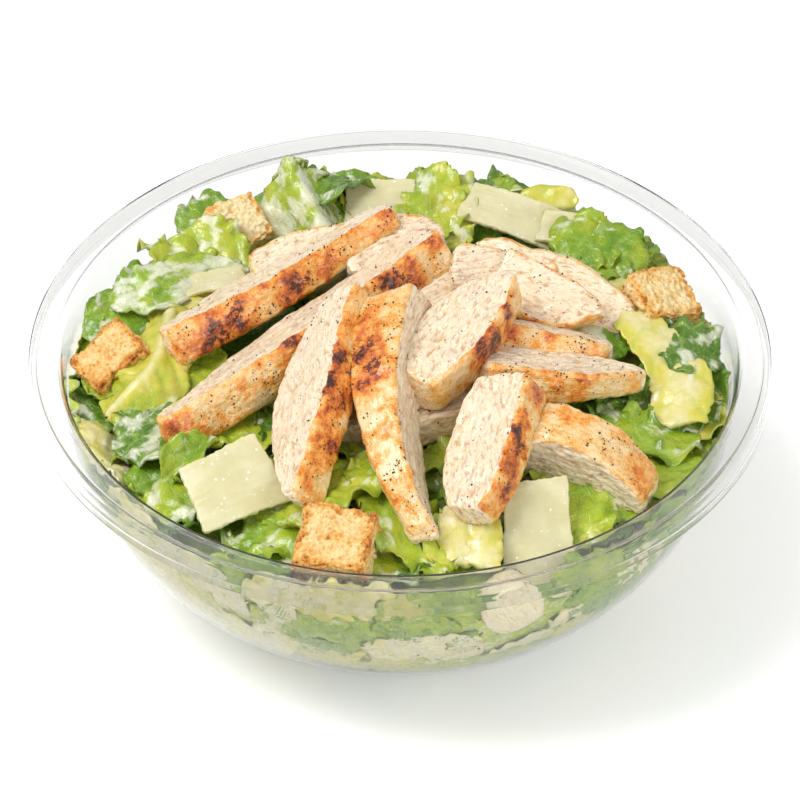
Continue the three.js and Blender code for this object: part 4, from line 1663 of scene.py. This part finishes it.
@dataclass(frozen=True)
class Lettuce:
    """All the leaves: those that show on top, those between them, and those against the wall."""

    bowl: Bowl
    heap: Heap
    material: bpy.types.Material
    fill_seed: int = 11
    lining_seed: int = 23
    fill_count: int = 46
    edge_count: int = 26  # how many more lie near the wall
    clear: tuple[float, float] = (225, 318)  # bearings between which none of those lie
    front: tuple[float, float] = (206, 332)  # bearings between which AT_WALL gives most of the leaves
    dark: tuple[float, float] = (283, 345)  # bearings between which the lining is dark green
    lining_rows: tuple[tuple[float, int], ...] = ((0.30, 11), (0.50, 14), (0.68, 16), (0.82, 17))

    def gather(self, name: str, leaves: list[Leaf]) -> None:
        """Makes one piece of a group of leaves.

        Args:
            name: The piece's name.
            leaves: The leaves.
        """
        surface = Surface()
        for leaf in leaves:
            leaf.add_to(surface, self.heap, self.bowl)
        settle(surface.piece(name, self.material), "lettuce", "lettuce_heap")

    def filling(self) -> list[Leaf]:
        """Strews leaves flat over the heap, under those that show most.

        Returns:
            The leaves.
        """
        rng = np.random.default_rng(self.fill_seed)
        leaves = []
        full = 2 * math.pi
        for n in range(self.fill_count + self.edge_count):
            radius, bearing, heading = 74 * math.sqrt(rng.random()), rng.random() * full, rng.random() * full
            if n >= self.fill_count:
                radius, bearing = 64 + radius / 5, (n + rng.uniform(-0.3, 0.3)) * full / self.edge_count
                if self.clear[0] < math.degrees(bearing) % 360 < self.clear[1]:
                    continue
            x, y, half = radius * math.cos(bearing), radius * math.sin(bearing), rng.uniform(9, 15)
            ahead = np.array((math.cos(heading), math.sin(heading))) * half
            width, lift = rng.uniform(12, 20), rng.uniform(-3.5, -1)
            path = tuple((x + k * ahead[0], y + k * ahead[1], lift + rng.uniform(-1, 1)) for k in (-1, 0, 1))
            leaves.append(Leaf(
                path, (0.6 * width, width, 0.9 * width, 0.5 * width), lean=rng.uniform(-25, 25),
                ruffle=rng.uniform(1.4, 2.6), tone=rng.uniform(0.35, 0.9), dressing=rng.uniform(0.1, 0.5),
                seed=100 + n, step=1.0,
            ))
        return leaves

    def lining(self) -> list[Leaf]:
        """Lines the inside of the wall with rows of leaves.

        Returns:
            The leaves, from the lowest row up.
        """
        rng = np.random.default_rng(self.lining_seed)
        leaves = []
        for share, count in self.lining_rows:
            for k in range(count):
                length, width = rng.uniform(22, 36), rng.uniform(15, 24)
                bearing = (k + rng.uniform(-0.3, 0.3)) * 360 / count + 20 * share
                in_front = self.front[0] < bearing % 360 < self.front[1]
                if in_front and share > 0.75:
                    continue
                behind = 3.0 if in_front and share > 0.45 else 0.0
                tones, films = (0.06, 0.2, 0.3, 0.5, 0.68, 0.9), (0.1, 0.3, 0.5, 0.9)
                if self.dark[0] < bearing % 360 < self.dark[1]:
                    tones, films = (0.6, 0.75, 0.9, 1.0), (0.0, 0.05, 0.2)
                leaves.append(WallLeaf(
                    straight(length), (0.55 * width, width, 0.95 * width, 0.5 * width),
                    ruffle=rng.uniform(0.8, 2.2), tone=rng.choice(tones), dressing=rng.choice(films),
                    seed=200 + len(leaves), step=1.15, bearing=bearing,
                    share=share + rng.uniform(-0.05, 0.05), turn=rng.uniform(-60, 60),
                    depth=rng.uniform(0.3, 1.1) + behind,
                ))
        return leaves

    def build(self) -> None:
        """Makes the core and every group of leaves. Those of LEAVES have the seeds 1, 2, 3 and so on."""
        self.heap.core(self.bowl, self.material)
        seeds = itertools.count(1)
        for side, leaves in LEAVES.items():
            self.gather(f"lettuce_{side.value}", [replace(leaf, seed=next(seeds)) for leaf in leaves])
        self.gather("lettuce_filling", self.filling())
        lining = self.lining()
        half = len(lining) // 2
        self.gather("lettuce_lining_low", lining[:half])
        self.gather("lettuce_lining_high", lining[half:])
        self.gather("lettuce_at_wall", [spot.leaf() for spot in AT_WALL])


@dataclass(frozen=True)
class Pressed:
    """What shows flat against the front of the wall: where it is, its size and its colour."""

    bearing: float
    share: float
    length: float
    width: float
    turn: float
    tone: float
    dressing: float
    ruffle: float = 1.0
    depth: float = 0.6

    def leaf(self) -> WallLeaf:
        """The leaf itself.

        Returns:
            The leaf, with noise of its own.
        """
        widths = (0.6 * self.width, self.width, 0.95 * self.width, 0.5 * self.width)
        seed = 400 + round(self.bearing * 3 + 50 * self.share)
        return WallLeaf(straight(self.length), widths, ruffle=self.ruffle, tone=self.tone,
                        dressing=self.dressing, seed=seed, step=0.9, bearing=self.bearing,
                        share=self.share, turn=self.turn, depth=self.depth)


AT_WALL = (
    # pale leaves along the left of the outline
    Pressed(219, 0.90, 30, 16, -25, 0.14, 0.75, depth=0.7),
    Pressed(224, 0.76, 34, 22, -20, 0.16, 0.70, depth=0.7),
    Pressed(232, 0.64, 40, 20, -12, 0.14, 0.75, depth=0.7),
    Pressed(214, 0.76, 26, 20, -10, 0.24, 0.50, depth=1.6),
    # lumps and a band of cream, with muted green between them
    Pressed(227, 0.90, 14, 10, -30, 0.05, 1.0, 2.0, 0.4),
    Pressed(235, 0.86, 24, 13, -38, 0.04, 1.15, 2.4, 0.2),
    Pressed(232, 0.80, 16, 11, -20, 0.34, 0.10, depth=0.8),
    Pressed(241, 0.92, 18, 12, -30, 0.62, 0.25, depth=1.2),
    Pressed(239, 0.78, 20, 10, 10, 0.50, 0.30, depth=0.9),
    Pressed(246, 0.74, 34, 9, 66, 0.05, 1.10, 1.8, 0.2),
    Pressed(249, 0.91, 22, 14, 12, 0.06, 1.0, 2.0, 0.4),
    Pressed(257, 0.91, 24, 12, -8, 0.22, 0.15, 1.4, depth=0.8),
    Pressed(257, 0.78, 34, 18, -14, 0.66, 0.16, depth=1.0),
    Pressed(253, 0.63, 28, 10, -25, 0.24, 0.45, depth=0.5),
    # the middle: a frilled edge, a veiled green leaf and a yellow-green one low down
    Pressed(264, 0.93, 30, 12, -8, 0.12, 0.25, 3.0, 0.3),
    Pressed(255, 0.68, 16, 9, -10, 0.80, 0.10, depth=0.4),
    Pressed(263, 0.62, 34, 11, 0, 0.22, 0.15, depth=0.6),
    Pressed(275, 0.89, 28, 16, 6, 0.62, 0.35, 1.6, 0.9),
    Pressed(273, 0.82, 22, 10, -6, 0.66, 0.42, depth=0.7),
    Pressed(274, 0.71, 30, 13, 4, 0.04, 1.15, 1.2, 0.2),
    Pressed(276, 0.57, 40, 12, 0, 0.42, 0.30, depth=0.5),
    # the right: very dark leaves as painted shade where gaps show, a bright ruffled leaf and smears of
    # dressing
    Pressed(282, 0.73, 12, 8, 30, 0.9, 0.05, depth=0.4),
    Pressed(293, 0.63, 20, 7, 30, 0.06, 1.10, 1.2, 0.2),
    Pressed(303, 0.72, 12, 8, 30, 0.08, 1.05, 1.8, 0.3),
    # painted shade: a very dark leaf where a gap between leaves shows
    Pressed(301, 0.90, 14, 10, 40, 1.0, 0.0, depth=0.8),
    Pressed(306, 0.91, 24, 12, -16, 0.56, 0.08, 3.0, 0.6),
    Pressed(312, 0.79, 30, 15, 6, 0.74, 0.12, 1.8, 0.7),
    Pressed(302, 0.62, 24, 9, 22, 0.34, 0.60, depth=0.5),
    Pressed(313, 0.66, 34, 15, 14, 0.8, 0.15, 1.4, 0.8),
    Pressed(290, 0.55, 34, 14, 10, 0.62, 0.2, depth=0.5),
    Pressed(325, 0.72, 34, 18, 30, 0.7, 0.2, depth=0.9),
    Pressed(324, 0.90, 22, 14, 0, 0.70, 0.12, depth=1.2),
)


seen = Sight(Heap(), Bowl()).place  # the midlines below are given as the camera sees them

LEAVES: dict[Side, tuple[Leaf, ...]] = {
    Side.BACK: (
        Leaf((seen(287, 155, y=67), seen(296, 174, y=62), seen(310, 204, y=56), seen(324, 230, y=50)),
             (6, 27, 36, 36, 26), fold=-46, tone=0.46, dressing=0.68, ruffle=1.2, lean=-10),
        Leaf((seen(318, 184, y=72), seen(352, 180, y=73), seen(388, 187, y=72)), (3, 5, 5, 3), lean=-30,
             tone=0.6, ruffle=0.8),
        Leaf((seen(345, 222, -3), seen(372, 216, -3), seen(400, 214, -3)), (12, 14, 12), tone=0.6,
             ruffle=1.6, lean=-10),
        Leaf((seen(428, 240, 1), seen(430, 205, 2), seen(437, 163, y=72)), (12, 18, 16, 8), tone=0.42,
             ruffle=2.8, dressing=0.35),
        Leaf((seen(452, 248), seen(452, 212, 1), seen(456, 172, y=72)), (10, 12, 12, 8), tone=0.36,
             ruffle=2.4, dressing=0.5),
        Leaf((seen(492, 215, -2), seen(500, 195, -2), seen(511, 177, y=70)), (12, 14, 8), tone=0.5,
             ruffle=2.2, dressing=0.2),
        Leaf((seen(516, 201, y=62), seen(548, 196, y=63), seen(580, 196, y=62)), (5, 6, 5), lean=-35,
             tone=0.2, ruffle=0.3, dressing=0.1),
        Leaf((seen(566, 240, -1.5), seen(588, 228, -1), seen(606, 216)), (10, 13, 12, 6), tone=0.2,
             ruffle=1.6, dressing=0.3),
        Leaf((seen(504, 250, -3), seen(540, 246, -3), seen(575, 250, -2.5)), (8, 12, 12, 8), tone=0.6,
             ruffle=1.6, lean=-10),
        Leaf((seen(560, 262, 1.5), seen(590, 240, 2), seen(622, 232, 2)), (10, 18, 18, 10), tone=0.56,
             ruffle=2.2, lean=-15, dressing=0.2),
        Leaf((seen(590, 272, 1.5), seen(622, 252, 2.5), seen(650, 252, 2)), (10, 18, 18, 10), tone=0.6,
             ruffle=2.2, lean=-15, dressing=0.25),
        Leaf((seen(596, 282), seen(630, 278, 1)), (10, 12, 8), tone=0.1, ruffle=1, dressing=0.4),
        Leaf((seen(425, 275), seen(450, 250)), (10, 12, 10), tone=0.75, ruffle=1.5),
    ),
    Side.LEFT: (
        Leaf((seen(244, 274, 1), seen(208, 256, 1.5), seen(178, 232, 1.5)), (12, 21, 22, 12), tone=0.40,
             ruffle=1.7, lean=20, dressing=0.5),
        Leaf((seen(222, 276, 1), seen(182, 266, 1.5), seen(150, 256, 1)), (10, 15, 15, 8), tone=0.42,
             ruffle=2.6, lean=20, dressing=0.2),
        Leaf((seen(246, 268, 3), seen(196, 274, 3.5), seen(150, 287, 3.5), seen(106, 301, 3)),
             (5, 12, 14, 14, 7), tone=0.58, ruffle=1.4, lean=18, dressing=0.74),
        Leaf((seen(152, 316, 1), seen(124, 326, 1.5), seen(99, 337, 0.5)), (10, 14, 10), tone=0.62,
             ruffle=1.8, lean=10, dressing=0.25),
        Leaf((seen(240, 290, 2.5), seen(200, 302, 3.5), seen(158, 318, 4)), (8, 13, 17, 12), tone=0.2,
             ruffle=0.9, lean=12, dressing=0.12),
        Leaf((seen(170, 304, 4), seen(163, 343, 8), seen(143, 380, 7), seen(104, 418, 3)),
             (12, 15, 18, 22, 14), tone=0.29, ruffle=0.9, fold=-22, rib=1.5, dressing=0.0),
        Leaf((seen(208, 342, 1), seen(186, 374, 1.5), seen(160, 402, 1)), (12, 16, 16, 10), tone=0.45,
             ruffle=2.4, dressing=0.2),
        Leaf((seen(90, 418), seen(108, 455), seen(138, 480, -1)), (12, 16, 12), tone=0.08, ruffle=1.6,
             lean=25, dressing=0.3),
        Leaf((seen(184, 402, 1.5), seen(146, 430, 3), seen(116, 450, 1.5)), (12, 20, 20, 10), tone=0.8,
             ruffle=2, dressing=0.62),
        Leaf((seen(182, 458, 0.5), seen(158, 478, 1), seen(146, 498)), (12, 16, 12), tone=0.68,
             ruffle=1.6, dressing=0.1),
        Leaf((seen(212, 436, 4), seen(190, 458, 5), seen(168, 486, 3)), (6, 12, 14, 7), tone=0.55,
             ruffle=1.4, fold=38, dressing=0.3),
        Leaf((seen(205, 478, 1), seen(180, 500, 1.5), seen(166, 522, 0.5)), (12, 18, 16, 8), tone=0.5,
             ruffle=2.4, dressing=0.45),
        Leaf((seen(130, 345, 1), seen(112, 375, 1), seen(100, 400)), (10, 14, 10), tone=0.5, ruffle=2,
             dressing=0.2),
    ),
    Side.FRONT: (
        Leaf((seen(384, 452, 2), seen(345, 474, 3), seen(300, 500, 2), seen(262, 528, 1)),
             (14, 22, 24, 20, 10), tone=0.45, ruffle=2.6, lean=-14, dressing=0.34),
        Leaf((seen(310, 508), seen(268, 530, 1), seen(226, 548)), (16, 24, 20, 10), tone=0.56, ruffle=3.2,
             dressing=0.25),
        Leaf((seen(240, 528), seen(262, 552), seen(300, 562, -0.5)), (10, 16, 12), tone=0.7, ruffle=2),
        Leaf((seen(356, 452, 2.5), seen(388, 498, 3), seen(418, 540, 2), seen(446, 572)),
             (8, 18, 22, 20, 12), tone=0.44, ruffle=2.4, lean=10, dressing=0.36),
        Leaf((seen(380, 540), seen(400, 560), seen(430, 572, -1)), (12, 18, 14), tone=0.45, ruffle=2.4,
             dressing=0.4),
        Leaf((seen(430, 515, 1), seen(444, 542, 2), seen(452, 568)), (6, 10, 12, 8), tone=0.34,
             ruffle=1.6, dressing=0.3),
        Leaf((seen(452, 500, 1.5), seen(460, 532, 2), seen(462, 566)), (8, 11, 10), tone=0.14, ruffle=0.8,
             rib=3.5, dressing=0.3),
        Leaf((seen(482, 512, 1.5), seen(483, 540, 2), seen(480, 568)), (7, 9, 9), tone=0.16, ruffle=0.8,
             rib=3, dressing=0.3),
        Leaf((seen(524, 462, 1), seen(560, 474, 2.5), seen(578, 510, 2.5), seen(584, 548)),
             (12, 18, 20, 18, 10), tone=0.48, ruffle=2.8, dressing=0.22),
        Leaf((seen(545, 480, -2), seen(556, 520, -1.5), seen(560, 556, -2)), (12, 18, 14), tone=0.42,
             ruffle=2.4, dressing=0.25),
        Leaf((seen(588, 498), seen(604, 520, 0.5), seen(620, 540, -1)), (10, 15, 12), tone=0.88,
             ruffle=1.8, dressing=0.1),
    ),
    Side.RIGHT: (
        Leaf((seen(574, 304, 2), seen(598, 328, 3), seen(626, 356, 2)), (8, 14, 15, 9), tone=0.7,
             ruffle=1.8, dressing=0.62),
        Leaf((seen(630, 314, 4), seen(656, 346, 5), seen(682, 382, 5), seen(676, 426, 3)),
             (10, 13, 15, 16, 13), tone=0.17, ruffle=0.5, rib=4, dressing=0.15),
        Leaf((seen(652, 326, 2), seen(690, 344, 3), seen(716, 368, 1)), (8, 16, 18, 9), tone=0.85,
             ruffle=2, dressing=0.45),
        Leaf((seen(622, 372), seen(648, 388), seen(668, 410)), (10, 14, 12), tone=0.78, ruffle=1.8,
             dressing=0.1),
        Leaf((seen(612, 420, 1), seen(650, 432, 2), seen(700, 436, 1)), (12, 20, 20, 10), tone=0.55,
             ruffle=2.4, dressing=0.4),
        Leaf((seen(622, 482), seen(656, 472, 1.5), seen(698, 450, 0.5)), (10, 18, 18, 8), tone=0.5,
             ruffle=2.4, dressing=0.35),
        Leaf((seen(606, 405), seen(628, 428, 1), seen(636, 460)), (10, 14, 12), tone=0.68, ruffle=2,
             dressing=0.5),
        Leaf((seen(708, 388), seen(704, 415, 0.5), seen(692, 440)), (7, 10, 8), tone=0.25, ruffle=1.4,
             dressing=0.15),
        Leaf((seen(600, 500), seen(630, 505, 0.5), seen(665, 490)), (10, 16, 12), tone=0.62, ruffle=2.2,
             dressing=0.3),
    ),
}


# ---- The studio ----------------------------------------------------------------------------------


@dataclass(frozen=True)
class Lamp:
    """A square soft light that faces the bowl."""

    name: str
    at: Point
    size: float
    power: float  # in watts
    towards: Point = (0, 0, 50)

    def build(self) -> None:
        """Makes the light."""
        light = bpy.data.lights.new(self.name, "AREA")
        light.size, light.energy = self.size * MM, self.power
        lamp = shown(self.name, light)
        lamp.location = Vector(self.at) * MM
        lamp.rotation_euler = (Vector(self.towards) - Vector(self.at)).to_track_quat("-Z", "Y").to_euler()


@dataclass(frozen=True)
class Studio:
    """A pale floor, soft light all round and a camera that looks down from the front."""

    lamps: tuple[Lamp, ...] = (
        Lamp("key", (-600, -120, 950), 560, 8.6),
        Lamp("fill", (600, -850, 560), 800, 5.2),
    )
    sky: float = 0.52  # how bright the light all round is
    side: float = 4.0  # half the floor's width, in metres
    pale: float = 0.93
    glow: float = 0.3  # how much light the floor gives off
    tilt: float = 39.0  # degrees above the table
    away: float = 9000.0
    aim: float = 52.0  # height that the camera looks at
    lens: float = 1626.0
    sensor: float = 36.0
    farthest: float = 20.0  # how far the camera sees, in metres

    def build(self) -> None:
        """Makes the light all round, the floor, the lamps and the camera."""
        scene = bpy.context.scene
        scene.view_settings.view_transform = "Standard"
        scene.world = scene.world or bpy.data.worlds.new("studio")
        scene.world.use_nodes = True
        background = scene.world.node_tree.nodes["Background"]
        background.inputs["Color"].default_value = (1, 1, 1, 1)
        background.inputs["Strength"].default_value = self.sky
        self.floor()
        for lamp in self.lamps:
            lamp.build()
        self.camera()

    def floor(self) -> None:
        """Lays a wide pale floor under the bowl's foot."""
        far = self.side
        mesh = bpy.data.meshes.new("floor")
        mesh.from_pydata([(-far, -far, 0), (far, -far, 0), (far, far, 0), (-far, far, 0)], [], [(0, 1, 2, 3)])
        recipe = Recipe("floor")
        recipe.set(Base_Color=(self.pale,) * 3, Roughness=0.8, Emission_Color=(1, 1, 1))
        recipe.set(Emission_Strength=self.glow)
        mesh.materials.append(recipe.material)
        shown("floor", mesh)

    def camera(self) -> None:
        """Sets up the camera."""
        lean = math.radians(self.tilt)
        data = bpy.data.cameras.new("camera")
        data.lens, data.sensor_width, data.clip_end = self.lens, self.sensor, self.farthest
        camera = shown("camera", data)
        height = self.aim + self.away * math.sin(lean)
        camera.location = Vector((0, -self.away * math.cos(lean), height)) * MM
        camera.rotation_euler = (math.pi / 2 - lean, 0, 0)
        bpy.context.scene.camera = camera


def main() -> None:
    """Builds the salad, piece by piece, and the studio round it."""
    logging.basicConfig(level=logging.INFO, format="%(message)s")
    bowl = Bowl()
    bowl.build()
    meat = RoastMeat().material()
    bread, cheese = ToastedBread().material(), HardCheese().material()
    # the wall slices' paler finish; its third colour is the painted shade of their hollows
    dressed = RoastMeat("dressed_chicken", (0.91, 0.82, 0.56), (0.86, 0.73, 0.42), (0.72, 0.50, 0.18),
                        browning=((0.0, (0.91, 0.82, 0.54)), (1.0, (0.80, 0.56, 0.22)))).material()
    peppered = Surface()
    for piece in SLICES:
        piece.build(bowl, dressed if "wall" in piece.node else meat, peppered)
    pepper = Strewing("pepper", "chicken", "peppered", density=110, sizes=(0.2, 0.9), seed=4)
    pepper.build(peppered, Seasoning().material())
    for piece in CROUTONS:
        piece.build(bowl, bread)
    for piece in SHAVINGS:
        piece.build(bowl, cheese)
    Lettuce(bowl, Heap(), DressedLeaf().material()).build()
    Studio().build()


if __name__ == "__main__":
    main()
